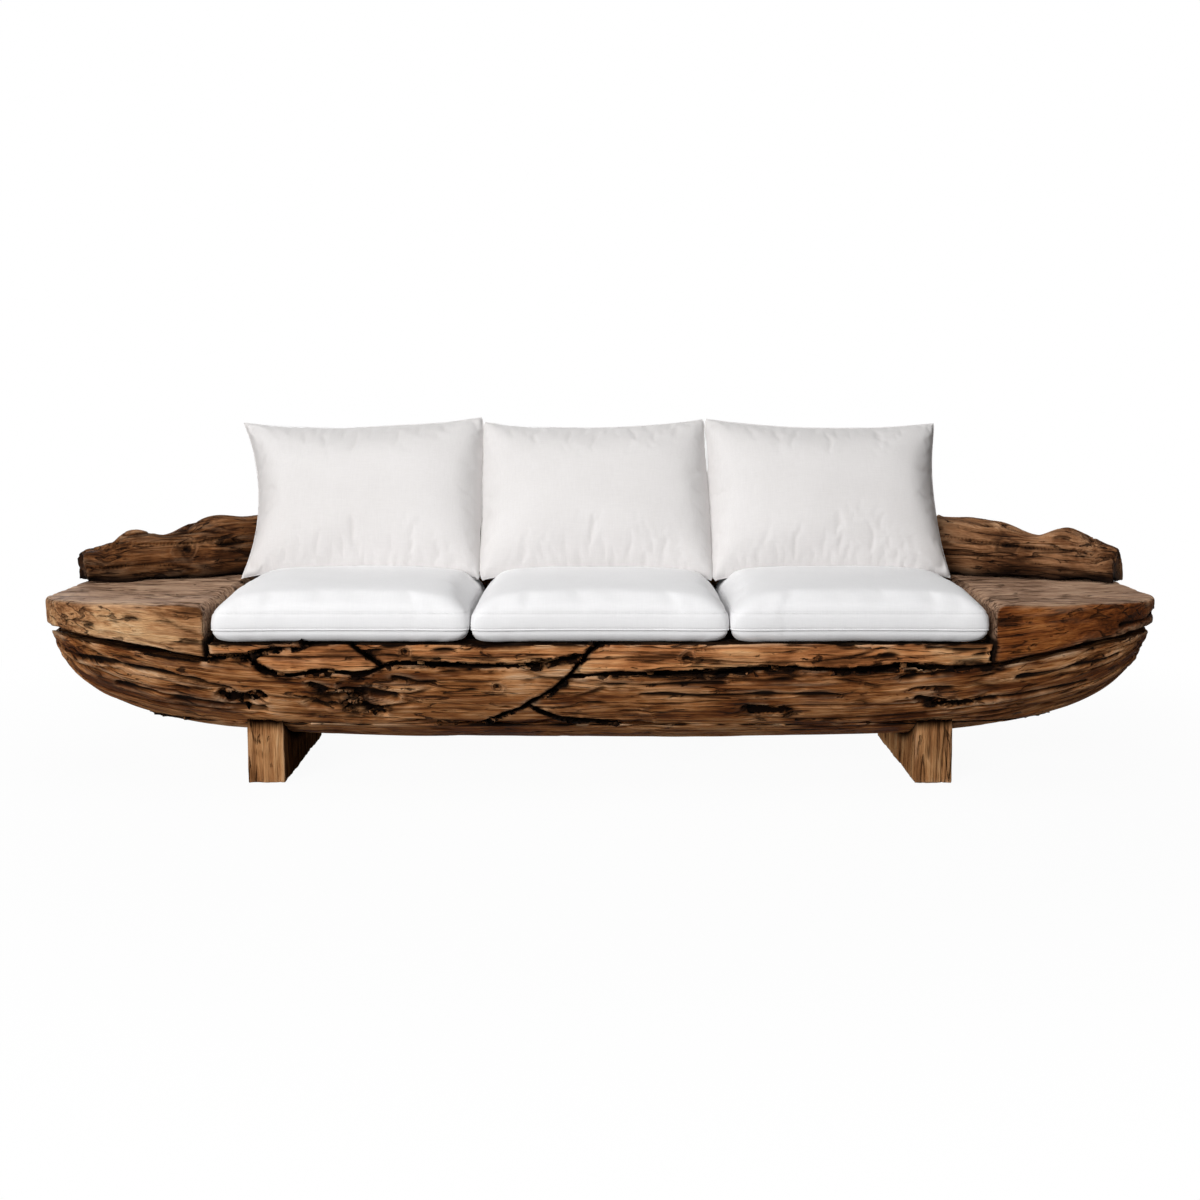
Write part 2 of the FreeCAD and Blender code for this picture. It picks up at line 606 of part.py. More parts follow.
for name, place in (("rib_left", 2), ("rib_middle", 4), ("rib_right", 6)):
    low_x = slat_places[place] - RIB_THICKNESS / 2
    rib = block(low_x, low_x + RIB_THICKNESS, -FAR, FAR, FLOOR_TOP, slat_bottom).common(hollow_fit)
    rear_cut = block(-FAR, FAR, REAR_RAIL_FRONT - LEDGER_DEPTH - FIT, FAR, REAR_RAIL_BOTTOM - FIT, FAR)
    front_cut = block(-FAR, FAR, -FAR, FRONT_LEDGER_BACK + FIT, ledger_bottom - FIT, FAR)
    save(name, rib.cut([rear_cut, front_cut]))

for side, underside, name in ((-1, LEFT_UNDERSIDE, "left_bulkhead"), (1, RIGHT_UNDERSIDE, "right_bulkhead")):
    inner = DECK_INNER_END + BULKHEAD_INSET
    low_x = inner if side > 0 else -inner - RIB_THICKNESS
    board = block(low_x, low_x + RIB_THICKNESS, -FAR, FAR, FLOOR_TOP + FIT, DECK_TOP).common(hollow_fit)
    save(name, board.cut(deck_zone(side, underside, -FIT)))


# Cushions. Each section is made of lines and shallow arcs, so the seams stay as edges.
def arc_rise(half_chord, rise, off):
    """Height of a shallow arc over its chord, at this distance from the arc's middle."""
    radius = (half_chord ** 2 + rise ** 2) / (2 * rise)
    return rise - radius + math.sqrt(radius ** 2 - min(abs(off), half_chord) ** 2)


def seat_profile(x, inset):
    """Front, back, low and high lines of a seat cushion's section."""
    half = SEAT_WIDTH / 2 - inset
    share = x / half
    full = superellipse(share, SEAT_ROUNDING)
    height = SEAT_END_THICKNESS + (SEAT_THICKNESS - SEAT_END_THICKNESS) * full - 2 * inset
    low = SEAT_TOP + FIT + SEAT_LIFT * (1 - full) + inset
    draw = SEAT_END_PULL * (1 - full) + SEAT_DRAW * (1 - share * share) + inset
    return SEAT_FRONT + draw, SEAT_BACK - draw, low, low + height


def seat_section(x, inset):
    front, back, low, high = seat_profile(x, inset)
    middle = (front + back) / 2
    corners = [
        Vector(x, front + SEAT_BULGE, low),
        Vector(x, front + SEAT_BULGE, high),
        Vector(x, back - SEAT_BULGE, high),
        Vector(x, back - SEAT_BULGE, low),
    ]
    edges = [
        Part.Arc(corners[0], Vector(x, front, (low + high) / 2), corners[1]).toShape(),
        Part.Arc(corners[1], Vector(x, middle, high + SEAT_CROWN), corners[2]).toShape(),
        Part.Arc(corners[2], Vector(x, back, (low + high) / 2), corners[3]).toShape(),
        Part.makeLine(corners[3], corners[0]),
    ]
    return Part.Wire(edges)


def seat_height(x, y):
    """Height of a seat cushion's crowned top at this place."""
    front, back, low, high = seat_profile(x, 0)
    return high + arc_rise((back - front) / 2 - SEAT_BULGE, SEAT_CROWN, y - (front + back) / 2)


def seat_cushion(inset):
    half = SEAT_WIDTH / 2 - inset
    sections = []
    for step in range(-CUSHION_STATIONS, CUSHION_STATIONS + 1):
        sections.append(seat_section(half * math.sin(0.5 * math.pi * step / CUSHION_STATIONS), inset))
    return Part.makeLoft(sections, True)


def back_profile(x, edge_inset, face_inset):
    """Bulge of a back cushion's section to each side, and the height of its lower edge."""
    share = x / (BACK_WIDTH / 2)
    bulge = BACK_EDGE + (BACK_HALF_THICKNESS - BACK_EDGE) * superellipse(share, BACK_FULLNESS) - face_inset
    return bulge, BACK_EAR * superellipse(share, BACK_EAR_FULLNESS) + edge_inset


def back_section(x, edge_inset, face_inset):
    bulge, ear = back_profile(x, edge_inset, face_inset)
    low = Vector(x, 0, ear)
    high = Vector(x, 0, BACK_HEIGHT - ear)
    middle = (low.z + high.z) / 2
    edges = [
        Part.Arc(low, Vector(x, -bulge, middle), high).toShape(),
        Part.Arc(high, Vector(x, bulge, middle), low).toShape(),
    ]
    return Part.Wire(edges)


def leaned_places():
    """Places on both faces of a back cushion that leans with its foot at the origin."""
    lean = FreeCAD.Rotation(Vector(1, 0, 0), -BACK_LEAN)
    places = []
    for step in range(-CUSHION_STATIONS, CUSHION_STATIONS + 1):
        x = BACK_WIDTH / 2 * math.sin(0.5 * math.pi * step / CUSHION_STATIONS)
        bulge, ear = back_profile(x, 0, 0)
        half_chord = BACK_HEIGHT / 2 - ear
        for rung in range(-LEAN_STEPS, LEAN_STEPS + 1):
            rise = half_chord * rung / LEAN_STEPS
            out = arc_rise(half_chord, bulge, rise)
            for side in SIDES:
                places.append(lean.multVec(Vector(x, side * out, BACK_HEIGHT / 2 + rise)))
    return places


def log_front(height):
    """Front of the centre log at this height over the deck, where its waves stand out most."""
    share = height / (LOG_HEIGHT * LOG_SWELL)
    return LOG_LINE - LOG_HALF_WIDTH * LOG_SWELL * superellipse(share, LOG_FULLNESS)


def back_foot():
    """Foot of a back cushion that stands on the seat cushion and leans toward the log."""
    places = leaned_places()
    foot = Vector(0, 0, SEAT_TOP + SEAT_THICKNESS)
    for turn in range(4):
        room = [log_front(max(foot.z + place.z - DECK_TOP, 0)) - place.y for place in places]
        foot.y = min(room) - BACK_LOG_CLEARANCE
        lifts = [seat_height(place.x, foot.y + place.y) - place.z for place in places]
        foot.z = max(lifts) + BACK_SEAT_CLEARANCE
    return foot


def back_cushion(end_inset, edge_inset, face_inset):
    half = BACK_WIDTH / 2 - end_inset
    sections = []
    for step in range(-CUSHION_STATIONS, CUSHION_STATIONS + 1):
        x = half * math.sin(0.5 * math.pi * step / CUSHION_STATIONS)
        sections.append(back_section(x, edge_inset, face_inset))
    pillow = Part.makeLoft(sections, True)
    pillow.rotate(Vector(0, 0, 0), Vector(1, 0, 0), -BACK_LEAN)
    pillow.translate(back_foot())
    return pillow


seat_cover = seat_cushion(0).cut(seat_cushion(COVER))
seat_core = seat_cushion(COVER + FIT)
back_space = back_cushion(BACK_CORE_END_INSET, BACK_CORE_EDGE_INSET, COVER)
back_cover = back_cushion(0, 0, 0).cut(back_space)
core_edge_inset = BACK_CORE_EDGE_INSET + BACK_RIM_CLEARANCE
back_core = back_cushion(BACK_CORE_END_INSET + FIT, core_edge_inset, COVER + FIT)
for step, side_name in ((-1, "left"), (0, "middle"), (1, "right")):
    shift = Vector(step * CUSHION_PITCH, 0, 0)
    save("seat_cover_" + side_name, seat_cover.translated(shift))
    save("seat_core_" + side_name, seat_core.translated(shift))
    save("back_cover_" + side_name, back_cover.translated(shift))
    save("back_core_" + side_name, back_core.translated(shift))
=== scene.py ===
# %% [markdown]
# # A boat-shaped sofa of reclaimed teak
# The solids come in as a fixed frame, already at their real size and place. This lesson dresses them:
# rough wood is carved over the planks, cloth is blown up into cushions, and each finish is made of nodes.

# %% Load the frame
import bpy
import math
import numpy as np
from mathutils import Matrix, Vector, noise
from mathutils.bvhtree import BVHTree
from mathutils.kdtree import KDTree


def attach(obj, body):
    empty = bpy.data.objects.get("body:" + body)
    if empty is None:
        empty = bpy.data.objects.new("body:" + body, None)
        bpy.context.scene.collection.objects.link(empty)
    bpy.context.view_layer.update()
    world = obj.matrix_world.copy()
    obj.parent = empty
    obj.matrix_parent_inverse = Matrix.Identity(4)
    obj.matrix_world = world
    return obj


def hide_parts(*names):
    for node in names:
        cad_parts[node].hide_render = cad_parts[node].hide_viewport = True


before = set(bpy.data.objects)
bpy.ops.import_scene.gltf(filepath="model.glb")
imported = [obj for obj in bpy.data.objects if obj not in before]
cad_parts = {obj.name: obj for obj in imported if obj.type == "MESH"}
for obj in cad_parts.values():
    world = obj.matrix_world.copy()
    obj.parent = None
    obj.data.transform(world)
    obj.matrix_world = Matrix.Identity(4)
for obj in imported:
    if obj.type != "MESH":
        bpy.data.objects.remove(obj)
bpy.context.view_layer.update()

# %% [markdown]
# ## The camera
# The photograph was taken from about four metres away and one metre up, looking slightly down, with the
# sofa centred. The lens and the tilt were worked out from where the legs and the deck edges fall.

# %% Place the camera
CAMERA_DISTANCE = 4.29
CAMERA_HEIGHT = 1.002
CAMERA_TILT = math.radians(7.64)
CAMERA_LENS = 49.2
SENSOR_WIDTH = 36
camera_data = bpy.data.cameras.new("camera")
camera_data.lens = CAMERA_LENS
camera_data.sensor_width = SENSOR_WIDTH
camera = bpy.data.objects.new("camera", camera_data)
camera.location = (0, -CAMERA_DISTANCE, CAMERA_HEIGHT)
camera.rotation_euler = (math.pi / 2 - CAMERA_TILT, 0, 0)
bpy.context.scene.collection.objects.link(camera)
bpy.context.scene.camera = camera
bpy.context.scene.view_settings.view_transform = "Standard"
print("camera at", [round(v, 3) for v in camera.location], "lens", CAMERA_LENS, "mm")

# %% [markdown]
# ## Shader maths
# A node tree is easier to read as a formula. Number wraps one socket, so that plain operators add Math
# nodes, and Finish holds one material and the single method that makes every other node.

# %% A number in a node tree
class Number:
    """An output socket that takes part in ordinary expressions."""

    def __init__(self, finish, socket):
        self.finish = finish
        self.socket = socket

    def __add__(self, other):
        return self.finish.maths("ADD", self, other)

    def __sub__(self, other):
        return self.finish.maths("SUBTRACT", self, other)

    def __rsub__(self, other):
        return self.finish.maths("SUBTRACT", other, self)

    def __mul__(self, other):
        return self.finish.maths("MULTIPLY", self, other)

    __radd__ = __add__
    __rmul__ = __mul__


# %% One finish
class Finish:
    """One material, built from expressions."""

    def __init__(self, name):
        self.material = bpy.data.materials.new(name)
        self.material.use_nodes = True
        self.tree = self.material.node_tree
        self.shader = self.tree.nodes["Principled BSDF"]

    def node(self, kind, settings=None, sockets=None, out=0):
        """Add a node, set it up, feed its sockets and give one of its outputs."""
        made = self.tree.nodes.new(kind)
        for key, value in (settings or {}).items():
            if key == "stops":
                ramp = made.color_ramp
                while len(ramp.elements) < len(value):
                    ramp.elements.new(0.5)
                for element, (place, colour) in zip(ramp.elements, value):
                    element.position = place
                    element.color = (*colour, 1)
            else:
                setattr(made, key, value)
        for key, value in (sockets or {}).items():
            self.feed(made.inputs[key], value)
        return Number(self, made.outputs[out])

    def feed(self, socket, value):
        if isinstance(value, Number):
            self.tree.links.new(value.socket, socket)
        else:
            socket.default_value = value

    def maths(self, operation, first, second):
        return self.node("ShaderNodeMath", {"operation": operation}, {0: first, 1: second})

    def place(self, scale=(1, 1, 1), shift=(0, 0, 0), lines=""):
        """Places on the piece, or along stored grain lines where a name for them is given."""
        if lines:
            spot = self.node("ShaderNodeAttribute", {"attribute_name": lines}, out="Vector")
        else:
            spot = self.node("ShaderNodeTexCoord", out="Object")
        return self.node("ShaderNodeMapping", None, {"Vector": spot, "Scale": scale, "Location": shift})

    def noise(self, vector, detail=3.0, rough=0.55, warp=0.0):
        sockets = {"Vector": vector, "Scale": 1.0, "Detail": detail}
        sockets.update({"Roughness": rough, "Distortion": warp})
        return self.node("ShaderNodeTexNoise", None, sockets)

    def step(self, value, low, high):
        sockets = {"Value": value, "From Min": low, "From Max": high}
        return self.node("ShaderNodeMapRange", {"interpolation_type": "SMOOTHSTEP"}, sockets)

    def ramp(self, value, stops):
        return self.node("ShaderNodeValToRGB", {"stops": stops}, {"Fac": value})

    def blend(self, mask, under, over):
        def colour(value):
            return value if isinstance(value, Number) else (*value, 1)
        sockets = {0: mask, 6: colour(under), 7: colour(over)}
        return self.node("ShaderNodeMix", {"data_type": "RGBA"}, sockets, out=2)

    def stain(self, name):
        return self.node("ShaderNodeAttribute", {"attribute_name": name}, out="Fac")

    def bump(self, height, strength, distance):
        sockets = {"Height": height, "Strength": strength, "Distance": distance}
        return self.node("ShaderNodeBump", None, sockets)

    def finish(self, colour=None, rough=None, bump=None, **fixed):
        if colour is not None:
            self.feed(self.shader.inputs["Base Color"], colour)
        if rough is not None:
            self.feed(self.shader.inputs["Roughness"], rough)
        if bump is not None:
            self.feed(self.shader.inputs["Normal"], bump)
        for key, value in fixed.items():
            self.shader.inputs[key.replace("_", " ")].default_value = value
        return self.material


# %% [markdown]
# ## Floor and light
# The photograph has a pure white surround. The floor and the sky are white only to the camera, so the
# light that reaches the wood stays plain: a broad far lamp from the front left, a weaker one overhead,
# and one behind for the side that the photograph hides. Close to the sofa a little of the floor's own
# shading is let through, which keeps a faint shadow under the hull.

# %% Make the sky
SKY_STRENGTH = 0.09
WHITE = (1, 1, 1, 1)


def white_to_camera(tree, lighting, white, output):
    """Show one shader to rays that look at the surround, and another to rays that light the sofa."""
    path = tree.nodes.new("ShaderNodeLightPath")
    first = tree.nodes.new("ShaderNodeMath")
    first.operation = "MAXIMUM"
    tree.links.new(path.outputs["Is Camera Ray"], first.inputs[0])
    tree.links.new(path.outputs["Is Glossy Ray"], first.inputs[1])
    second = tree.nodes.new("ShaderNodeMath")
    second.operation = "MAXIMUM"
    tree.links.new(first.outputs[0], second.inputs[0])
    tree.links.new(path.outputs["Is Transmission Ray"], second.inputs[1])
    mixed = tree.nodes.new("ShaderNodeMixShader")
    tree.links.new(second.outputs[0], mixed.inputs[0])
    tree.links.new(lighting, mixed.inputs[1])
    tree.links.new(white, mixed.inputs[2])
    tree.links.new(mixed.outputs[0], tree.nodes[output].inputs["Surface"])


world = bpy.data.worlds.new("surround")
world.use_nodes = True
bpy.context.scene.world = world
sky = world.node_tree.nodes["Background"]
sky.inputs["Color"].default_value = WHITE
sky.inputs["Strength"].default_value = SKY_STRENGTH
bright = world.node_tree.nodes.new("ShaderNodeBackground")
bright.inputs["Color"].default_value = WHITE
bright.inputs["Strength"].default_value = 1.0
white_to_camera(world.node_tree, sky.outputs[0], bright.outputs[0], "World Output")
print("sky strength", SKY_STRENGTH)

# %% Lay the floor
FLOOR_SIZE = 60
FLOOR_BOUNCE = (0.1, 0.1, 0.1, 1)
FLOOR_WHITE = (0.95, 0.95, 0.95, 1)
FLOOR_GLOW = 0.95
SHADOW_NEAR = 1.3
SHADOW_FAR = 2.6
bpy.ops.object.select_all(action="DESELECT")
bpy.ops.mesh.primitive_plane_add(size=FLOOR_SIZE, location=(0, 0, 0))
floor = bpy.context.object
floor.name = "floor"
paper = Finish("floor_paper")
paper.finish(FLOOR_BOUNCE, 1.0)
away = paper.node("ShaderNodeVectorMath", {"operation": "LENGTH"}, {0: paper.place()}, out="Value")
shadowed = paper.node("ShaderNodeBsdfDiffuse", None, {"Color": FLOOR_WHITE})
glow = paper.node("ShaderNodeEmission")
share = FLOOR_GLOW + (1 - FLOOR_GLOW) * paper.step(away, SHADOW_NEAR, SHADOW_FAR)
seen = paper.node("ShaderNodeMixShader", None, {0: share, 1: shadowed, 2: glow})
white_to_camera(paper.tree, paper.shader.outputs[0], seen.socket, "Material Output")
floor.data.materials.append(paper.material)
print("floor", [round(v, 1) for v in floor.dimensions])

# %% Hang the lamps
LAMP_TARGET = Vector((0, 0, 0.4))


def lamp(name, power, size, spot):
    """A square lamp that faces the sofa, with its power in watts."""
    data = bpy.data.lights.new(name, "AREA")
    data.energy = power
    data.size = size
    made = bpy.data.objects.new(name, data)
    made.location = spot
    made.rotation_euler = (LAMP_TARGET - Vector(spot)).to_track_quat("-Z", "Y").to_euler()
    bpy.context.scene.collection.objects.link(made)
    print(name, power, "W")


lamp("lamp_key", 930, 5.0, (-4.6, -8.8, 3.4))
lamp("lamp_top", 40, 3.0, (-0.2, -0.8, 3.4))
lamp("lamp_rear", 450, 5.0, (-3.5, 8.5, 2.2))

# %% [markdown]
# ## Weathered teak
# Reclaimed teak shows long streaks along the grain, finer pores inside them, dark pits where it rotted,
# and paler worn edges. A picture of wood would repeat and stretch over the hull. Here the streaks are
# noise stretched along the grain, and which parts of a piece are worn, and which are hollow and so get a
# painted shade, is read from its own shape, stored on its points as attributes.

# %% The teak finish
# A near-black brown for dark grain, cracks, pits and knots, and for the painted shade in hollows and
# joints.
SOOT_AND_SHADE = (0.014, 0.005, 0.002)
TAN = (0.78, 0.51, 0.31)


def darker(colour, share):
    """A share of a colour's light."""
    return tuple(part * share for part in colour)


def teak(name, stops, top=None, shift=0.0, worn=0.5, pit=0.9, gloss=0.06, lines="grain", crosswise=False):
    """Streaked wood.

    The stops colour its rough faces and top the faces turned up or in: grey on the smoothed tops of the
    decks, and on the left leg a painted shade on its inner face. The shift moves its pattern, so that no
    two finishes repeat each other, and lines names the stored places along its grain.
    """
    wood = Finish(name)

    def along(long, across, move=0.0):
        move += shift
        scale = (across, long, across) if crosswise else (long, across, across)
        return wood.place(scale, (move, move * 1.7, move * 0.6), lines)

    broad = wood.noise(along(1.7, 9), 4, 0.6, 0.9)
    streak = wood.noise(along(3.4, 72), 5, 0.65, 0.6)
    pore = wood.noise(along(16, 300), 3, 0.6)
    blotch = wood.noise(along(6, 10, 4.1), 4, 0.55, 0.7)
    spot = wood.noise(along(12, 44, 2.3), 4, 0.6, 1.2)
    fibre = wood.noise(along(2.4, 30, 7.7), 2, 0.5, 0.4)
    pits = wood.step(spot, 0.61, 0.68)
    from_middle = wood.node("ShaderNodeMath", {"operation": "ABSOLUTE"}, {0: fibre - 0.5})
    cracks = wood.step(from_middle, 0.02, 0.006) * wood.step(blotch, 0.6, 0.42)
    tone = broad * 0.4 + streak * 0.34 + pore * 0.2 + blotch * 0.26
    colour = wood.ramp(wood.step(tone, 0.42, 0.8), stops)
    hollow = wood.stain("hollow")
    near = wood.stain("near_hollow")
    edge = wood.stain("worn")
    knot = wood.stain("knot")
    joint = wood.stain("joint")
    # Faces turned up or in take top: the decks' grey tops, and a painted shade on the left leg's inner
    # face.
    if top is not None:
        planed = wood.stain("planed")
        up_or_in_tone = wood.ramp(wood.step(streak * 0.4 + pore * 0.3 + blotch * 0.3, 0.36, 0.62), top)
        colour = wood.blend(planed * 0.9, colour, up_or_in_tone)
    colour = wood.blend(wood.step(streak, 0.44, 0.28) * 0.6, colour, SOOT_AND_SHADE)
    colour = wood.blend(edge * wood.step(blotch, 0.38, 0.6) * worn, colour, TAN)
    colour = wood.blend(cracks * 0.75, colour, SOOT_AND_SHADE)
    colour = wood.blend(pits * pit, colour, SOOT_AND_SHADE)
    rings = wood.node("ShaderNodeMath", {"operation": "SINE"}, {0: knot * 19 + streak * 9 + blotch * 6})
    colour = wood.blend(wood.step(knot, 0.05, 0.75) * (0.5 - 0.3 * rings), colour, SOOT_AND_SHADE)
    # Painted shade round the hollows and in them, then the joint mask: dark joints with painted shadow.
    colour = wood.blend(near * wood.step(blotch, 0.7, 0.4) * 0.8, colour, SOOT_AND_SHADE)
    colour = wood.blend(hollow, colour, darker(SOOT_AND_SHADE, 0.25))
    colour = wood.blend(joint, colour, darker(SOOT_AND_SHADE, 0.3))
    height = streak * 1.0 + pore * 0.4 + broad * 0.5 - pits * 0.8 - cracks * 1.2 - knot * rings * 0.25
    if top is not None:
        height = height * (1 - 0.6 * planed)
    roughness = 0.62 + 0.2 * streak + 0.2 * hollow
    print(name, "has", len(wood.tree.nodes), "nodes")
    return wood.finish(colour, roughness, wood.bump(height, 1.0, 0.011), Specular_IOR_Level=gloss)


# %% Colours of each piece of teak
RED_BROWN = [(0.0, (0.014, 0.004, 0.0012)), (0.25, (0.14, 0.04, 0.01)), (0.5, (0.4, 0.15, 0.045)),
             (0.75, (0.7, 0.335, 0.14)), (1.0, (0.9, 0.61, 0.38))]
# The rails are paler than the belly: their own tone, and painted light that lifts them from the cushions'
# shadow.
LIT_RAIL_BROWN = [(0.0, (0.09, 0.029, 0.008)), (0.25, (0.47, 0.17, 0.056)), (0.5, (0.76, 0.33, 0.125)),
              (0.75, (0.88, 0.48, 0.22)), (1.0, (0.94, 0.65, 0.38))]
GOLD_BROWN = [(0.0, (0.05, 0.018, 0.006)), (0.25, (0.26, 0.105, 0.038)), (0.5, (0.51, 0.25, 0.108)),
              (0.75, (0.67, 0.385, 0.185)), (1.0, (0.82, 0.56, 0.32))]
DARK_RED = [(0.0, (0.02, 0.006, 0.0018)), (0.35, (0.19, 0.051, 0.0115)), (0.65, (0.38, 0.125, 0.03)),
            (1.0, (0.6, 0.26, 0.082))]
GREY_TOP = [(0.0, (0.13, 0.074, 0.046)), (0.45, (0.37, 0.225, 0.145)), (1.0, (0.6, 0.41, 0.285))]
LOG_BROWN = [(0.0, (0.006, 0.002, 0.0006)), (0.35, (0.055, 0.018, 0.0055)), (0.65, (0.2, 0.077, 0.026)),
             (1.0, (0.48, 0.24, 0.105))]
LOG_PALE = [(0.0, (0.008, 0.003, 0.001)), (0.3, (0.13, 0.05, 0.019)), (0.6, (0.34, 0.16, 0.072)),
            (1.0, (0.62, 0.36, 0.2))]
LEG_BROWN = [(0.0, (0.15, 0.062, 0.022)), (0.35, (0.38, 0.168, 0.064)), (0.65, (0.56, 0.29, 0.124)),
             (1.0, (0.76, 0.48, 0.26))]
# A darker ramp: a painted shade for the left leg's inner face, which turns to the middle.
LEG_PAINTED_SHADE = [(0.0, (0.03, 0.012, 0.005)), (0.45, (0.13, 0.055, 0.022)), (1.0, (0.29, 0.14, 0.06))]

teak_belly = teak("teak_belly", RED_BROWN, worn=0.75)
teak_rail = teak("teak_rail", LIT_RAIL_BROWN, shift=3.1, worn=0.6)
teak_deck_left = teak("teak_deck_left", GOLD_BROWN, GREY_TOP, shift=5.3, worn=0.7, pit=0.6)
teak_deck_right = teak("teak_deck_right", DARK_RED, GREY_TOP, shift=8.9, worn=0.5, pit=0.75)
teak_log_left = teak("teak_log_left", LOG_BROWN, shift=2.2, worn=0.4)
teak_log_right = teak("teak_log_right", LOG_PALE, shift=6.4, worn=0.4)
teak_log_centre = teak("teak_log_centre", LOG_BROWN, shift=4.7, worn=0.4)
# The left leg's inner face gets the painted shade.
teak_leg_left = teak("teak_leg_left", LEG_BROWN, LEG_PAINTED_SHADE, shift=7.7, worn=0.35, pit=0.5, gloss=0.0)
teak_leg_right = teak("teak_leg_right", LEG_BROWN, shift=12.4, worn=0.35, pit=0.4, gloss=0.0)
inner_wood = teak("inner_wood", GOLD_BROWN, shift=1.3, pit=0.2, lines="")
slat_wood = teak("slat_wood", GOLD_BROWN, shift=9.6, pit=0.2, lines="", crosswise=True)

# %% [markdown]
# ## Carving the planks
# The solids have the right outlines but smooth faces. Each is copied, welded, and remeshed into small
# even faces, which are then pushed in along the grain, with the long splits and rotted knots of the
# photograph. Sculpting by hand would do as well, but a rule can be run again when a solid changes.

# %% Read and write points
def only(piece):
    """Select one object and make it the active one."""
    bpy.ops.object.select_all(action="DESELECT")
    piece.hide_set(False)
    piece.select_set(True)
    bpy.context.view_layer.objects.active = piece


def read_points(piece, what="co"):
    """The points of a piece, or the normals at them, as rows of three."""
    values = np.empty(len(piece.data.vertices) * 3)
    if what == "co":
        piece.data.vertices.foreach_get("co", values)
    else:
        piece.data.vertex_normals.foreach_get("vector", values)
    return values.reshape(-1, 3)


def write_points(piece, points):
    """Move the points of a piece."""
    piece.data.vertices.foreach_set("co", points.ravel())
    piece.data.update()


def store(piece, name, values):
    """Keep one number per point, for a finish to read."""
    attribute = piece.data.attributes.get(name) or piece.data.attributes.new(name, "FLOAT", "POINT")
    attribute.data.foreach_set("value", values.astype(np.float32))


def neighbours(piece):
    """The two points of every edge."""
    pairs = np.empty(len(piece.data.edges) * 2, dtype=np.int64)
    piece.data.edges.foreach_get("vertices", pairs)
    return pairs.reshape(-1, 2)


def averaged(values, pairs, rounds):
    """Spread values over neighbouring points."""
    count = len(values)
    weight = np.bincount(pairs.ravel(), minlength=count) + 1.0
    for _ in range(rounds):
        total = values.copy()
        total += np.bincount(pairs[:, 0], values[pairs[:, 1]], count)
        total += np.bincount(pairs[:, 1], values[pairs[:, 0]], count)
        values = total / weight
    return values


# %% Weld and soften
WELD_DISTANCE = 0.00001


def weld(piece, parted=False):
    """Join the doubled corners of a solid's copy, and part it into its shells where asked."""
    only(piece)
    bpy.ops.object.mode_set(mode="EDIT")
    bpy.ops.mesh.select_all(action="SELECT")
    bpy.ops.mesh.remove_doubles(threshold=WELD_DISTANCE)
    if parted:
        bpy.ops.mesh.separate(type="LOOSE")
    bpy.ops.object.mode_set(mode="OBJECT")


def soften(piece, rounds):
    """Smooth a piece, which has to be the active one."""
    step = piece.modifiers.new("soften", "SMOOTH")
    step.factor = 0.5
    step.iterations = rounds
    bpy.ops.object.modifier_apply(modifier="soften")


# %% [markdown]
# ## Wear and painted shade, read from the shape
# Edges wear pale, and hollows are given a painted shade. How far the neighbours of a point lie above or
# below its own plane tells one from the other, so the wear and the shade follow each carved ridge without
# a texture drawn for them.

# %% Read the wear
FINE_ROUNDS = 1
WIDE_ROUNDS = 6
NEAR_ROUNDS = 9
PLANED_ROUNDS = 3
DARKEST = 0.97


def shape_wear_and_shade(piece, gain=1.0):
    """Find worn edges, hollows for painted shade, and faces turned up or in, from how the surface bends.
    """
    points, normals, pairs = read_points(piece), read_points(piece, "normal"), neighbours(piece)
    step = points[pairs[:, 1]] - points[pairs[:, 0]]
    length = np.linalg.norm(step, axis=1) + 1e-9
    first = np.einsum("ij,ij->i", step, normals[pairs[:, 0]]) / length
    second = np.einsum("ij,ij->i", -step, normals[pairs[:, 1]]) / length
    count = len(points)
    bend = np.bincount(pairs[:, 0], first, count) + np.bincount(pairs[:, 1], second, count)
    bend /= np.bincount(pairs.ravel(), minlength=count)
    fine, wide = averaged(bend, pairs, FINE_ROUNDS), averaged(bend, pairs, WIDE_ROUNDS)
    # Concave places are hollows, which get a painted shade; convex ones are worn edges.
    hollow = np.clip((fine * 4 + wide * 8 - 0.1) * gain, 0, DARKEST)
    store(piece, "worn", np.clip((-fine * 2.6 - wide * 6 - 0.06) * gain, 0, 1))
    store(piece, "hollow", hollow)
    store(piece, "near_hollow", np.clip(averaged(hollow, pairs, NEAR_ROUNDS) * 2.2, 0, 1))
    # Faces turned up or in: grey tops and inner ends of the decks, and the left leg's painted inner shade.
    inward = np.maximum(normals[:, 2], -np.sign(points[:, 0]) * normals[:, 0])
    store(piece, "planed", np.clip(averaged(inward, pairs, PLANED_ROUNDS) * 3 - 1.3, 0, 1))


# %% [markdown]
# ## Splits and knots
# The photograph shows long splits, rotted pockets and a few knots on the front. They are few, so each is
# listed by its place in the front view. Their edges are made crooked with noise when they are pressed in.

# %% Place the splits and knots
def segment_distance(points, line):
    """Least distance in the front view from each point to a line of (x, z) corners, in metres."""
    flat = points[:, (0, 2)]
    best = np.full(len(flat), 9.0)
    for start, end in zip(line, line[1:]):
        a, b = np.array(start), np.array(end)
        share = np.clip(((flat - a) @ (b - a)) / ((b - a) @ (b - a)), 0, 1)
        best = np.minimum(best, np.linalg.norm(flat - a - share[:, None] * (b - a), axis=1))
    return best


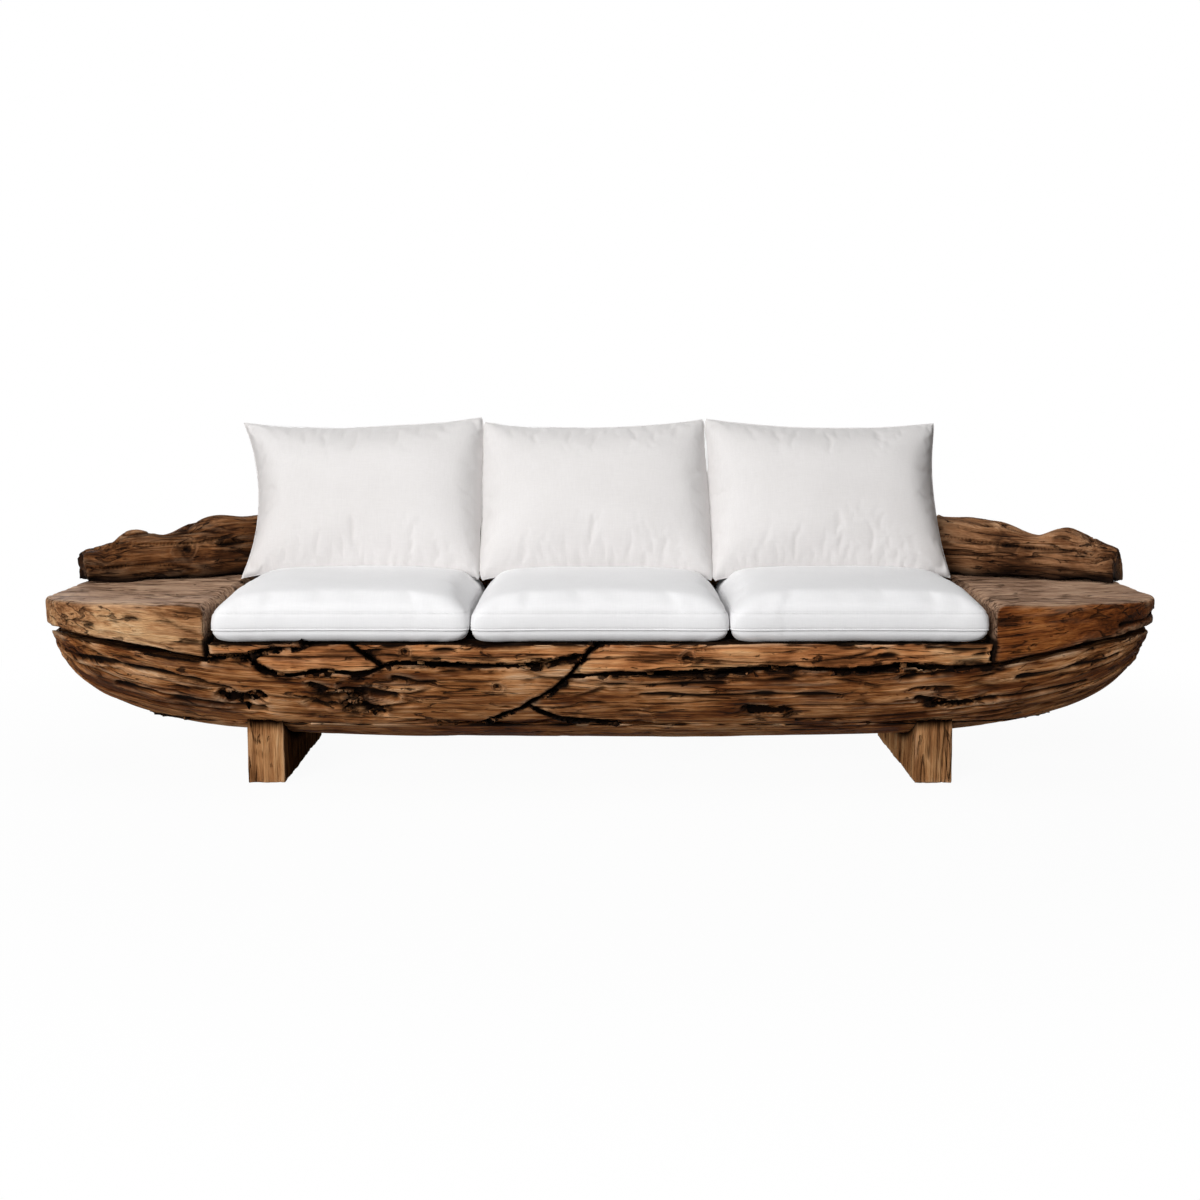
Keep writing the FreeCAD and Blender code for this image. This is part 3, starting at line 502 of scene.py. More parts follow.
# Splits on the front face, as (x, z) corners in metres with a half width and a depth.
SPLITS = [
    ([(-1.31, 0.335), (-1.2, 0.312), (-1.08, 0.296), (-0.93, 0.262), (-0.86, 0.225)], 0.012, 0.014),
    ([(-1.19, 0.255), (-1.06, 0.228), (-0.93, 0.205), (-0.83, 0.2)], 0.010, 0.010),
    ([(-0.92, 0.232), (-0.87, 0.222), (-0.83, 0.232)], 0.014, 0.016),
    ([(-0.7, 0.262), (-0.64, 0.245), (-0.57, 0.25), (-0.5, 0.23)], 0.012, 0.014),
    ([(-0.72, 0.222), (-0.66, 0.205), (-0.6, 0.212), (-0.54, 0.19)], 0.014, 0.018),
    ([(0.36, 0.2), (0.42, 0.19), (0.47, 0.192)], 0.011, 0.012),
    ([(0.732, 0.285), (0.8, 0.294), (0.88, 0.309)], 0.006, 0.012),
    ([(0.78, 0.225), (0.87, 0.208), (0.97, 0.222)], 0.010, 0.012),
    ([(1.27, 0.335), (1.15, 0.305), (1.02, 0.285)], 0.008, 0.008),
    ([(1.2, 0.262), (1.08, 0.238), (0.96, 0.225)], 0.007, 0.007),
    ([(1.27, 0.41), (1.34, 0.418), (1.375, 0.43)], 0.008, 0.012),
    ([(0.1, 0.24), (0.24, 0.236), (0.42, 0.243), (0.6, 0.238)], 0.007, 0.007),
    ([(0.0, 0.27), (0.14, 0.268), (0.3, 0.272)], 0.006, 0.006),
    ([(-0.5, 0.285), (-0.44, 0.27), (-0.4, 0.272)], 0.008, 0.012),
    ([(0.79, 0.366), (0.86, 0.358), (0.93, 0.357)], 0.008, 0.010),
]
# Knots, as (x, z, radius).
KNOTS = [(-0.61, 0.215, 0.07), (0.21, 0.337, 0.026), (0.1, 0.135, 0.06), (-1.117, 0.548, 0.04),
         (1.1, 0.562, 0.05), (-0.47, 0.352, 0.02), (0.86, 0.215, 0.03), (-0.25, 0.265, 0.02),
         (-1.385, 0.52, 0.03), (1.385, 0.53, 0.025)]
print(len(SPLITS), "splits and", len(KNOTS), "knots")

# %% [markdown]
# ## Grain, joints and painted shade
# On a hull the grain sweeps up with the ends, so noise is sampled on places measured along and across it.
# The joints between planks gather soot, and a painted shade falls where a plank lies under a cushion, at
# the foot of a log and under the hull: the distance to the neighbouring solids says where.

# %% Keep the mitres clear
LOG_RUN = 0.433
LOG_FORWARD = 0.26
LOG_TURN = math.atan2(LOG_FORWARD, LOG_RUN)
MITRE_PLACE = (0.945, 0.3)
MITRE_REACH = 0.012


def mitre_clear(points):
    """0 at the mitred ends of the logs, where two of them meet, and 1 away from them."""
    half = LOG_TURN / 2
    x, y = np.abs(points[:, 0]) - MITRE_PLACE[0], points[:, 1] - MITRE_PLACE[1]
    away = x * math.cos(half) - y * math.sin(half)
    return np.clip(np.abs(away) / MITRE_REACH - 0.4, 0, 1)


# %% Follow the grain
DECK_TOP = 0.47
KEEL_REACH = 1.378
KEEL_FULLNESS = 3.9
SWEEP_START = 0.6
SWEEP_RISE = 0.09


def grain_lines(points, turn, upright, swept):
    """Places measured along and across the grain, which sweeps up with the ends of the hull."""
    lines = points.copy()
    c, s = math.cos(turn), math.sin(turn)
    lines[:, 0] = points[:, 0] * c - points[:, 1] * s
    lines[:, 1] = points[:, 0] * s + points[:, 1] * c
    if upright:
        lines = lines[:, (2, 1, 0)]
    reach = np.abs(points[:, 0])
    if swept:
        share = np.minimum(reach / KEEL_REACH, 0.96)
        depth = (1 - share ** KEEL_FULLNESS) ** (1 / KEEL_FULLNESS)
        lines[:, 2] = DECK_TOP - (DECK_TOP - points[:, 2]) / depth ** swept
        lines[:, 2] -= SWEEP_RISE * np.maximum(reach - SWEEP_START, 0) ** 1.5
    return lines


# %% Find the joints
JOINT_SEARCH = 0.1
JOINT_GAP = 0.006


def joint_shade(piece, own, others, reach):
    """1 where a plank all but touches its neighbours, fading to 0 over the given reach."""
    corners, faces = [], []
    for node in others:
        if node == own:
            continue
        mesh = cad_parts[node].data
        faces += [[len(corners) + index for index in face.vertices] for face in mesh.polygons]
        corners += [vertex.co for vertex in mesh.vertices]
    tree = BVHTree.FromPolygons(corners, faces)
    places = read_points(piece)
    away = np.array([tree.find_nearest(spot, JOINT_SEARCH)[3] or JOINT_SEARCH for spot in places])
    return np.clip(1 - (away - JOINT_GAP) / reach, 0, 1)


# %% [markdown]
# ## Pressing the grain in
# Every point moves along its normal. Broad swells, ridges and fine lines come from noise stretched along
# the grain; flecks, chips and creases only cut inwards, so that a plank never grows past its solid by
# much.

# %% Press in splits and knots, raise knobs
KNOT_RING = 0.016
KNOT_HEART = 0.009
# The logs end in a knob that stands a little above their taper.
LOG_FOOT = 0.475
LOG_KNOB_X = 1.37
LOG_KNOB_REACH = 0.055
LOG_KNOB_RISE = 0.016


def press_splits(points, facing, push, joint):
    """Cut the splits into the front, with crooked edges, and paint a shade into them on the joint mask."""
    for line, half, deep in SPLITS:
        distance = segment_distance(points, line)
        for index in np.nonzero(distance < half * 1.8)[0]:
            x, _, z = points[index]
            crooked = distance[index] + half * noise.noise((x * 16, z * 45, deep * 900))
            near = facing[index] * min(1.0, max(0.0, 1.1 - crooked / half))
            push[index] -= deep * near ** 0.8
            joint[index] = max(joint[index], min(1.0, max(0.0, near * 1.7 - 0.5)))


def press_knots(points, facing, push, knot):
    """Raise a ring round each knot and sink its heart."""
    for middle_x, middle_z, radius in KNOTS:
        distance = np.hypot(points[:, 0] - middle_x, points[:, 2] - middle_z)
        for index in np.nonzero(distance < radius * 1.5)[0]:
            x, _, z = points[index]
            crooked = 1 + 0.5 * noise.noise((x * 38, z * 38, middle_x * 9))
            near = facing[index] * max(0.0, 1 - distance[index] * crooked / radius)
            knot[index] = max(knot[index], near)
            push[index] += KNOT_RING * near * (1 - near) ** 2 - KNOT_HEART * near ** 3


def raise_knobs(points):
    """Lift the upper side of a log near its outer end."""
    knob = np.clip(1 - np.abs(np.abs(points[:, 0]) - LOG_KNOB_X) / LOG_KNOB_REACH, 0, 1) ** 0.5
    upper = np.clip((points[:, 2] - LOG_FOOT) / LOG_KNOB_REACH, 0, 1)
    points[:, 2] += LOG_KNOB_RISE * knob * upper


# %% Carve
# Swells, ridges and fine lines: a height in metres, and waves per metre along and across the grain.
RELIEF = ((0.0042, 3.2, 8), (0.0036, 4, 30), (0.0014, 10, 80))
GNARL_WAVES = (8, 13)
FLECK_WAVES = (11, 48)
FLECK_DEPTH = 0.03
FLECK_LIMIT = 0.38
CHIP_WAVES = (14, 26)
CHIP_DEPTH = 0.007
JOINT_CHIP_DEPTH = 0.005
CREASE_WAVES = (1.9, 15)
CREASE_DEPTH = 0.006
CREASE_WIDTH = 0.07
OVERALL_SINK = 0.002


def rough(spot, along, across, shift):
    """Noise stretched along the grain, at so many waves per metre."""
    x, y, z = spot
    return noise.noise((x * along + shift, y * across, z * across))


def carve(piece, joint, turn=0.0, shift=0.0, depth=1.0, ends=1.0, detailed=True, upright=False,
          gnarl=0.0, swept=0.0):
    """Press grain, splits, chipped edges and knots into a remeshed plank."""
    shape_wear_and_shade(piece)
    points, normals = read_points(piece), read_points(piece, "normal")
    edge = np.empty(len(points))
    piece.data.attributes["worn"].data.foreach_get("value", edge)
    lines = grain_lines(points, turn, upright, swept)
    grain = piece.data.attributes.new("grain", "FLOAT_VECTOR", "POINT")
    grain.data.foreach_set("vector", lines.astype(np.float32).ravel())
    push = np.empty(len(points))
    for index, spot in enumerate(lines.tolist()):
        lift = sum(height * rough(spot, along, across, shift) for height, along, across in RELIEF)
        chip = rough(spot, *CHIP_WAVES, shift)
        crease = abs(rough(spot, *CREASE_WAVES, -shift)) / CREASE_WIDTH
        lift -= FLECK_DEPTH * max(0.0, rough(spot, *FLECK_WAVES, -shift) - FLECK_LIMIT)
        lift -= CHIP_DEPTH * edge[index] * max(0.0, chip + 0.1)
        lift -= CREASE_DEPTH * max(0.0, 1 - crease)
        lift -= JOINT_CHIP_DEPTH * joint[index] * max(0.0, 0.6 + 1.6 * chip)
        if gnarl:
            lift += gnarl * rough(spot, *GNARL_WAVES, shift)
        push[index] = lift
    push = (push - OVERALL_SINK) * depth * (1 - (1 - ends) * normals[:, 0] ** 2)
    knot = np.zeros(len(points))
    if detailed:
        facing = np.clip(-normals[:, 1] * 2 + 0.2, 0, 1)
        press_splits(points, facing, push, joint)
        press_knots(points, facing, push, knot)
    if gnarl:
        push *= mitre_clear(points)
        raise_knobs(points)
    write_points(piece, points + normals * push[:, None])
    store(piece, "knot", knot)
    # The joint mask: dark joints, with painted shade in the splits and where neighbours overhang.
    store(piece, "joint", joint * DARKEST)


# %% [markdown]
# ## One plank
# A plank starts as a copy of its solid, so that it fits its neighbours. The copy is welded and remeshed,
# because a solid's long triangles could not take any relief.

# %% A carved plank
# The seat covers count as neighbours, so the rails get a painted shadow just below the cushions.
FRONT = ("front_belly_left", "front_belly_right", "front_wedge_patch", "front_rail_strip",
         "front_leaf_patch", "front_rail_middle", "front_rail_right", "left_deck_slab", "right_deck_slab",
         "seat_cover_left", "seat_cover_middle", "seat_cover_right")
DECKS = ("left_deck_slab", "right_deck_slab", "rear_rail_left", "rear_rail_right")
HULL = ("bottom_plank_front", "keel_plank", "bottom_plank_rear", "front_belly_left", "front_belly_right")


def plank(node, finish, voxel, smooth=3, others=FRONT, reach=0.008, **carving):
    """A carved copy that stands for one wooden solid."""
    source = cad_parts[node]
    piece = source.copy()
    piece.data = source.data.copy()
    piece.name = "wood_" + node
    piece.parent = None
    for key in list(piece.keys()):
        del piece[key]
    bpy.context.scene.collection.objects.link(piece)
    weld(piece)
    piece.data.remesh_voxel_size = voxel
    bpy.ops.object.voxel_remesh()
    soften(piece, smooth)
    carve(piece, joint_shade(piece, node, others, reach), **carving)
    shape_wear_and_shade(piece)
    bpy.ops.object.shade_smooth()
    piece.data.materials.clear()
    piece.data.materials.append(finish)
    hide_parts(node)
    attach(piece, "frame")
    print(piece.name, len(piece.data.polygons), "faces")


# %% Carve the hull, decks, logs and legs
RAIL_VOXEL = 0.004
SEEN_VOXEL = 0.005
FLOOR_VOXEL = 0.006
REAR_VOXEL = 0.007
FLOOR_SMOOTHING = 14
LOG_GNARL = 0.016
CENTRE_GNARL = 0.006
for index, node in enumerate(FRONT[:3]):
    plank(node, teak_belly, SEEN_VOXEL, shift=index * 0.8, swept=1.0)
for index, node in enumerate(FRONT[3:7]):
    plank(node, teak_rail, RAIL_VOXEL, shift=2 + index * 0.7)
for node in ("rear_belly_left", "rear_belly_right"):
    plank(node, teak_belly, REAR_VOXEL, detailed=False, shift=6, swept=1.0)
for node in ("rear_rail_left", "rear_rail_right"):
    plank(node, teak_rail, REAR_VOXEL, detailed=False, shift=9)
floor_planks = {"others": DECKS, "depth": 0.6, "detailed": False, "shift": 4, "swept": 1.0}
for node in ("bottom_plank_front", "keel_plank", "bottom_plank_rear"):
    plank(node, teak_belly, FLOOR_VOXEL, FLOOR_SMOOTHING, **floor_planks)
plank("left_deck_slab", teak_deck_left, SEEN_VOXEL, depth=0.6, ends=0.2, shift=1, swept=0.01)
plank("right_deck_slab", teak_deck_right, SEEN_VOXEL, depth=0.6, ends=0.2, shift=3, swept=0.01)
# At the foot of a log: a dark joint with the deck, and a painted shade 4 cm up its side.
near_deck = {"others": DECKS, "reach": 0.04}
plank("back_log_left", teak_log_left, SEEN_VOXEL, turn=-LOG_TURN, shift=5, gnarl=LOG_GNARL, **near_deck)
plank("back_log_right", teak_log_right, SEEN_VOXEL, turn=LOG_TURN, shift=7, gnarl=LOG_GNARL, **near_deck)
near_deck.update({"detailed": False, "gnarl": CENTRE_GNARL})
plank("back_log_centre", teak_log_centre, REAR_VOXEL, shift=8, **near_deck)
# A leg gets a dark joint and a painted shade within 2 cm of the hull above it.
legs = {"others": HULL, "reach": 0.02, "depth": 0.3, "upright": True, "detailed": False}
plank("left_cradle", teak_leg_left, SEEN_VOXEL, shift=3, **legs)
plank("right_cradle", teak_leg_right, SEEN_VOXEL, shift=6, **legs)

# %% [markdown]
# ## Hidden wood and fasteners
# Slats, ribs, ledgers, dowels and screws are plain shop-made parts, so their solids stay and only get a
# finish. Slats, ribs and bulkheads lie from front to back, so their grain does too.

# %% Finish the inner pieces
steel = Finish("zinc_steel")
brushed = steel.noise(steel.place((40, 40, 900)), 3)
zinc = steel.ramp(brushed, [(0.3, (0.38, 0.38, 0.37)), (0.7, (0.6, 0.6, 0.58))])
zinc_steel = steel.finish(zinc, 0.3 + 0.25 * brushed, Metallic=1.0)
for node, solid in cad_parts.items():
    if solid.hide_render or "_cover_" in node or "_core_" in node:
        continue
    metal = node.endswith("screws") or node in ("cradle_bolts", "cradle_washers")
    deep = "slat" in node or "rib" in node or "bulkhead" in node
    solid.data.materials.clear()
    solid.data.materials.append(zinc_steel if metal else slat_wood if deep else inner_wood)
    print(node, "in", solid.data.materials[0].name)

# %% [markdown]
# ## Woven cushion cloth
# Both cloths are plain weaves seen from metres away. Modelled threads would never be seen, so the weave
# is a fine over-and-under bump, with a hint of slub in its colour and a soft sheen.

# %% The cloth finish
THREADS = 2600


def cloth(name, light, shade, hollow_shade):
    """A plain weave with a painted shade, warm and darker, in its hollows."""
    weave = Finish(name)
    parts = weave.node("ShaderNodeSeparateXYZ", None, {0: weave.place()}).socket.node
    x, y, z = (Number(weave, parts.outputs[i]) for i in range(3))

    def thread(value):
        return weave.node("ShaderNodeMath", {"operation": "SINE"}, {0: value * THREADS})

    cross = thread(x) * thread(z + y)
    warp = weave.noise(weave.place((30, 420, 420)), 2)
    weft = weave.noise(weave.place((420, 30, 30)), 2)
    slub = warp * 0.5 + weft * 0.5
    soft = weave.noise(weave.place((6, 6, 6)), 3)
    hollow = weave.stain("hollow")
    colour = weave.ramp(slub * 0.6 + soft * 0.4, [(0.35, shade), (0.62, light)])
    # Painted shade, warm and darker, in the hollows of the cloth.
    colour = weave.blend(hollow * 0.6, colour, hollow_shade)
    bump = weave.bump(cross * 0.25 + slub, 0.25, 0.0012)
    return weave.finish(colour, 0.85 + 0.1 * slub, bump, Sheen_Weight=0.25, Sheen_Roughness=0.5)


seat_fabric = cloth("seat_fabric", (0.87, 0.865, 0.872), (0.82, 0.815, 0.822), (0.57, 0.56, 0.55))
back_fabric = cloth("back_fabric", (0.745, 0.724, 0.716), (0.69, 0.668, 0.658), (0.5, 0.465, 0.43))
print("cloths", seat_fabric.name, back_fabric.name)

# %% [markdown]
# ## Seat cushions
# A boxed cushion is a sewn cover round a foam block. A bevelled box would look hard, so the solid only
# gives the block: cloth pressure rounds it as stuffing does, and a cap keeps it close to the size it was
# cut to.

# %% Cloth pressure
SWELL_PRESSURE = 4
SWELL_FRAMES = 20
CLOTH_QUALITY = 5
CLOTH_MASS = 0.25
CLOTH_STIFFNESS = 12.0
SHEAR_SHARE = 0.4


def swell(piece, cap, bend=0.4, shrink=0.0, held=""):
    """Inflate a closed mesh with cloth pressure and keep the result."""
    before = read_points(piece)
    only(piece)
    cloth_step = piece.modifiers.new("swell", "CLOTH")
    settings = cloth_step.settings
    settings.quality = CLOTH_QUALITY
    settings.mass = CLOTH_MASS
    settings.tension_stiffness = CLOTH_STIFFNESS
    settings.compression_stiffness = CLOTH_STIFFNESS
    settings.shear_stiffness = CLOTH_STIFFNESS * SHEAR_SHARE
    settings.bending_stiffness = bend
    settings.use_pressure = True
    settings.uniform_pressure_force = SWELL_PRESSURE
    settings.shrink_min = shrink
    settings.vertex_group_mass = held
    settings.effector_weights.gravity = 0
    cloth_step.point_cache.frame_start = 1
    cloth_step.point_cache.frame_end = SWELL_FRAMES
    scene = bpy.context.scene
    for moment in range(1, SWELL_FRAMES + 1):
        scene.frame_set(moment)
    bpy.ops.object.modifier_apply(modifier="swell")
    scene.frame_set(1)
    after = read_points(piece)
    move = after - before
    far = np.linalg.norm(move, axis=1)
    print(piece.name, "swelled by", round(float(far.max()), 4), "mean", round(float(far.mean()), 4))
    move *= np.minimum(1, cap / np.maximum(far, 1e-9))[:, None]
    write_points(piece, before + move)


def finer(piece):
    """Split each face into four smooth ones."""
    only(piece)
    step = piece.modifiers.new("finer", "SUBSURF")
    step.levels = 1
    step.render_levels = 1
    bpy.ops.object.modifier_apply(modifier="finer")


# %% The form of a seat
SEAT_VOXEL = 0.0085
SEAT_SMOOTHING = 26
SEAT_DRAWN_IN = (0.985, 0.985, 0.95)


def seat_form():
    """The outer skin of a seat cover's solid, remeshed and drawn in a little, so that it can swell."""
    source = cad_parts["seat_cover_middle"]
    piece = bpy.data.objects.new("seat_form", source.data.copy())
    bpy.context.scene.collection.objects.link(piece)
    weld(piece, parted=True)
    shells = [o for o in bpy.context.selected_objects if o.type == "MESH"]
    shells.sort(key=lambda o: o.dimensions.x)
    piece = shells[-1]
    for other in shells[:-1]:
        bpy.data.objects.remove(other)
    only(piece)
    piece.data.remesh_voxel_size = SEAT_VOXEL
    bpy.ops.object.voxel_remesh()
    points = read_points(piece)
    centre, span = (points.min(0) + points.max(0)) / 2, points.max(0) - points.min(0)
    soften(piece, SEAT_SMOOTHING)
    points = read_points(piece)
    fill = span / (points.max(0) - points.min(0))
    write_points(piece, centre + (points - centre) * fill * np.array(SEAT_DRAWN_IN))
    return piece


# %% Bring a seat to its size
SEAT_BOTTOM = 0.3756
SEAT_CROWN = 0.5135
SEAT_MIDDLE_Y = -0.0955
SEAT_HALF_WIDTH = 0.3122
SEAT_HALF_DEPTH = 0.3085
SEAT_FLATTENED = 0.005


def settle(piece):
    """Bring a swollen seat back between its neighbours, and flatten it where it lies on the slats."""
    points = read_points(piece)
    for axis, middle, half in ((0, 0.0, SEAT_HALF_WIDTH), (1, SEAT_MIDDLE_Y, SEAT_HALF_DEPTH)):
        low, high = points[:, axis].min(), points[:, axis].max()
        points[:, axis] = middle + (points[:, axis] - (low + high) / 2) * (2 * half / (high - low))
    low, high = points[:, 2].min() + SEAT_FLATTENED, points[:, 2].max()
    share = np.maximum(points[:, 2] - low, 0) / (high - low)
    points[:, 2] = SEAT_BOTTOM + share * (SEAT_CROWN - SEAT_BOTTOM)
    write_points(piece, points)


# %% Crown a seat
SEAT_LOWERING = 1.28
SEAT_END_FALL = 0.013
SEAT_EDGE_FALL = 0.01
TUCK_HEIGHT = 0.45
TUCK_ENDS = 0.15
TUCK_FRONT = 0.07
CROWN_SMOOTHING = 8


def crown(piece):
    """Bring the widest line down to the piping, round the top toward its ends and tuck the foot in."""
    points = read_points(piece)
    share = np.clip((points[:, 2] - SEAT_BOTTOM) / (SEAT_CROWN - SEAT_BOTTOM), 0, 1)
    points[:, 2] = SEAT_BOTTOM + share ** SEAT_LOWERING * (SEAT_CROWN - SEAT_BOTTOM)
    end = np.abs(points[:, 0]) / SEAT_HALF_WIDTH
    edge = np.abs(points[:, 1] - SEAT_MIDDLE_Y) / SEAT_HALF_DEPTH
    points[:, 2] -= share * (SEAT_END_FALL * end ** 3 + SEAT_EDGE_FALL * edge ** 2)
    tuck = np.clip(1 - share / TUCK_HEIGHT, 0, 1) ** 2
    points[:, 0] *= 1 - TUCK_ENDS * tuck
    points[:, 1] = SEAT_MIDDLE_Y + (points[:, 1] - SEAT_MIDDLE_Y) * (1 - TUCK_FRONT * tuck)
    write_points(piece, points)
    soften(piece, CROWN_SMOOTHING)


# %% [markdown]
# ## Seams and stitches
# A seam is a loop of points on the cushion's side. The cloth is drawn in along it, with puckers that fade
# away from it, and piping or short threads are laid on top as tubes. A remesh would erase lines as thin as
# these, so they come after it.

# %% Seam lines
LOOP_SAMPLES = 4001
RAY_START = 1.3


def even_loop(half_x, half_y, squareness, count):
    """Evenly spaced points round a rounded rectangle."""
    angle = np.linspace(0, 2 * math.pi, LOOP_SAMPLES)
    x = half_x * np.sign(np.cos(angle)) * np.abs(np.cos(angle)) ** (2 / squareness)
    y = half_y * np.sign(np.sin(angle)) * np.abs(np.sin(angle)) ** (2 / squareness)
    run = np.concatenate([[0], np.cumsum(np.hypot(np.diff(x), np.diff(y)))])
    places = np.linspace(0, run[-1], count + 1)[:-1]
    return np.column_stack([np.interp(places, run, x), np.interp(places, run, y)])


def pressed(piece, flat, height):
    """Press plan points inwards on the side of a piece at one height, from outside it."""
    found = []
    for x, y in flat:
        start = Vector((x * RAY_START, y * RAY_START + SEAT_MIDDLE_Y, height))
        hit, spot, _, _ = piece.ray_cast(start, (-x, -y, 0))
        if hit:
            found.append(tuple(spot))
    return np.array(found)


# %% Threads and piping
def tubes(name, lines, radius, closed):
    """A mesh of thin round threads along lines of points."""
    curve = bpy.data.curves.new(name, "CURVE")
    curve.dimensions = "3D"
    curve.bevel_depth = radius
    curve.bevel_resolution = 1
    curve.use_fill_caps = True
    for line in lines:
        spline = curve.splines.new("POLY")
        spline.points.add(len(line) - 1)
        spline.points.foreach_set("co", np.column_stack([line, np.ones(len(line))]).ravel())
        spline.use_cyclic_u = closed
    made = bpy.data.objects.new(name, curve)
    bpy.context.scene.collection.objects.link(made)
    only(made)
    bpy.ops.object.convert(target="MESH")
    return bpy.context.object


def stitches(name, loop, length, radius, lift):
    """Short threads, one for every other pair of points round a loop."""
    centre = loop.mean(0)
    lines = []
    for start, end in zip(loop[::2], np.roll(loop, -1, axis=0)[::2]):
        middle, half = (start + end) / 2, (end - start) / 2
        half *= length / 2 / np.linalg.norm(half)
        out = (middle - centre) * lift / np.linalg.norm(middle - centre)
        lines.append(np.array([middle - half - out, middle + out * 0.5, middle + half - out]))
    return tubes(name, lines, radius, False)


def joined(piece, extras):
    """Make the threads part of the cushion."""
    bpy.ops.object.select_all(action="DESELECT")
    for extra in extras:
        extra.select_set(True)
    piece.select_set(True)
    bpy.context.view_layer.objects.active = piece
    bpy.ops.object.join()


# %% Seams and sag
def seam(piece, loops, shift):
    """Draw the cloth in along sewn loops, with small puckers that run away from them."""
    points, normals = read_points(piece), read_points(piece, "normal")
    push = np.zeros(len(points))
    for loop, width, deep, pucker, reach in loops:
        tree = KDTree(len(loop))
        for index, spot in enumerate(loop):
            tree.insert(spot, index)
        tree.balance()
        run = np.concatenate([[0], np.cumsum(np.linalg.norm(np.diff(loop, axis=0), axis=1))])
        for index, spot in enumerate(points):
            _, nearest, away = tree.find(spot)
            if away > reach * 4:
                continue
            place = run[nearest]
            crowd = max(0.0, 0.35 + 1.4 * noise.noise((place * 7 + shift, 0.3, shift)))
            wave = noise.noise((place * 55, shift, 0.7)) + 0.5 * noise.noise((place * 120, shift, 5.1))
            push[index] += pucker * crowd * wave * math.exp(-away / reach)
            push[index] -= deep * math.exp(-(away / width) ** 2)
    write_points(piece, points + normals * push[:, None])


def sag(piece, shift, amount):
    """Make one cushion differ from its neighbours, as use does."""
    points, normals = read_points(piece), read_points(piece, "normal")
    push = np.array([noise.noise((x * 5 + shift, y * 6, z * 6 - shift)) for x, y, z in points])
    write_points(piece, points + normals * (amount * push)[:, None])


# %% Dress a cushion
WEAR_AND_SHADE_GAIN = 0.8


def dress(piece, fabric, kind, side):
    """Give a cushion its finish and its place in the frame."""
    shape_wear_and_shade(piece, WEAR_AND_SHADE_GAIN)
    only(piece)
    bpy.ops.object.shade_smooth()
    piece.data.materials.clear()
    piece.data.materials.append(fabric)
    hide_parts(kind + "_cover_" + side, kind + "_core_" + side)
    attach(piece, kind + "_cushion_" + side)
    print(piece.name, len(piece.data.polygons), "faces", [round(v, 3) for v in piece.dimensions])


# %% [markdown]
# ## Three seats
# One form is swollen once and copied. Each copy then sags in its own way and gets its own seams, and the
# right one is mirrored, so that no two look alike.

# %% Swell the seat form
SEAT_SWELL_CAP = 0.022
seat = seat_form()
swell(seat, SEAT_SWELL_CAP)
settle(seat)
crown(seat)
finer(seat)
print("seat form", len(seat.data.polygons), "faces")

# %% Make the three seats
SIDES = ("left", "middle", "right")
PITCH = 0.626
SEAT_WELT = 0.407
SEAT_STITCH = 0.448
SEAT_SAG = 0.0022
STITCH_LENGTH = 0.0046
STITCH_RADIUS = 0.0009
STITCH_LIFT = 0.0005
WELT_RADIUS = 0.0026
# Each seam has a width, a depth, the height of its puckers and their reach.
STITCH_SEAM = (0.004, 0.0012, 0.0012, 0.010)
WELT_SEAM = (0.006, 0.003, 0.0016, 0.012)
outline = even_loop(half_x=0.312, half_y=0.308, squareness=9, count=560)
for index, side in enumerate(SIDES):
    piece = seat.copy()
    piece.data = seat.data.copy()
    piece.name = "seat_cushion_" + side
    bpy.context.scene.collection.objects.link(piece)
    if side == "right":
        points = read_points(piece)
        points[:, 0] *= -1
        write_points(piece, points)
        only(piece)
        bpy.ops.object.mode_set(mode="EDIT")
        bpy.ops.mesh.select_all(action="SELECT")
        bpy.ops.mesh.flip_normals()
        bpy.ops.object.mode_set(mode="OBJECT")
    sag(piece, 3.1 * index, SEAT_SAG)
    settle(piece)
    loops = [pressed(piece, outline, SEAT_STITCH), pressed(piece, outline, SEAT_WELT)]
    seam(piece, [(loops[0], *STITCH_SEAM), (loops[1], *WELT_SEAM)], index * 2.3)
    settle(piece)
    thread, welt = (pressed(piece, outline, height) for height in (SEAT_STITCH, SEAT_WELT))
    threads = stitches("stitch", thread, STITCH_LENGTH, STITCH_RADIUS, STITCH_LIFT)
    joined(piece, [threads, tubes("welt", [welt], WELT_RADIUS, True)])
    points = read_points(piece)
    points[:, 0] += (index - 1) * PITCH
    write_points(piece, points)
    dress(piece, seat_fabric, "seat", side)
bpy.data.objects.remove(seat)

# %% [markdown]
# ## Back cushions
# A knife-edge cushion is two flat panels sewn round the rim and stuffed. Two sheets of the cut size,
# joined at the rim, are blown up; the rim draws in between the corners, which leaves the pointed ears of
# the photograph.

# %% The form of a back cushion
BACK_SIZE = (0.6255, 0.448, 0.176)
BACK_TOP_DRAW = 0.025
BACK_FOOT_DRAW = 0.036
BACK_ACROSS = 88
BACK_UP = 60
RIM_THICKNESS = 0.002
CORNER_BLUNTING = 0.02


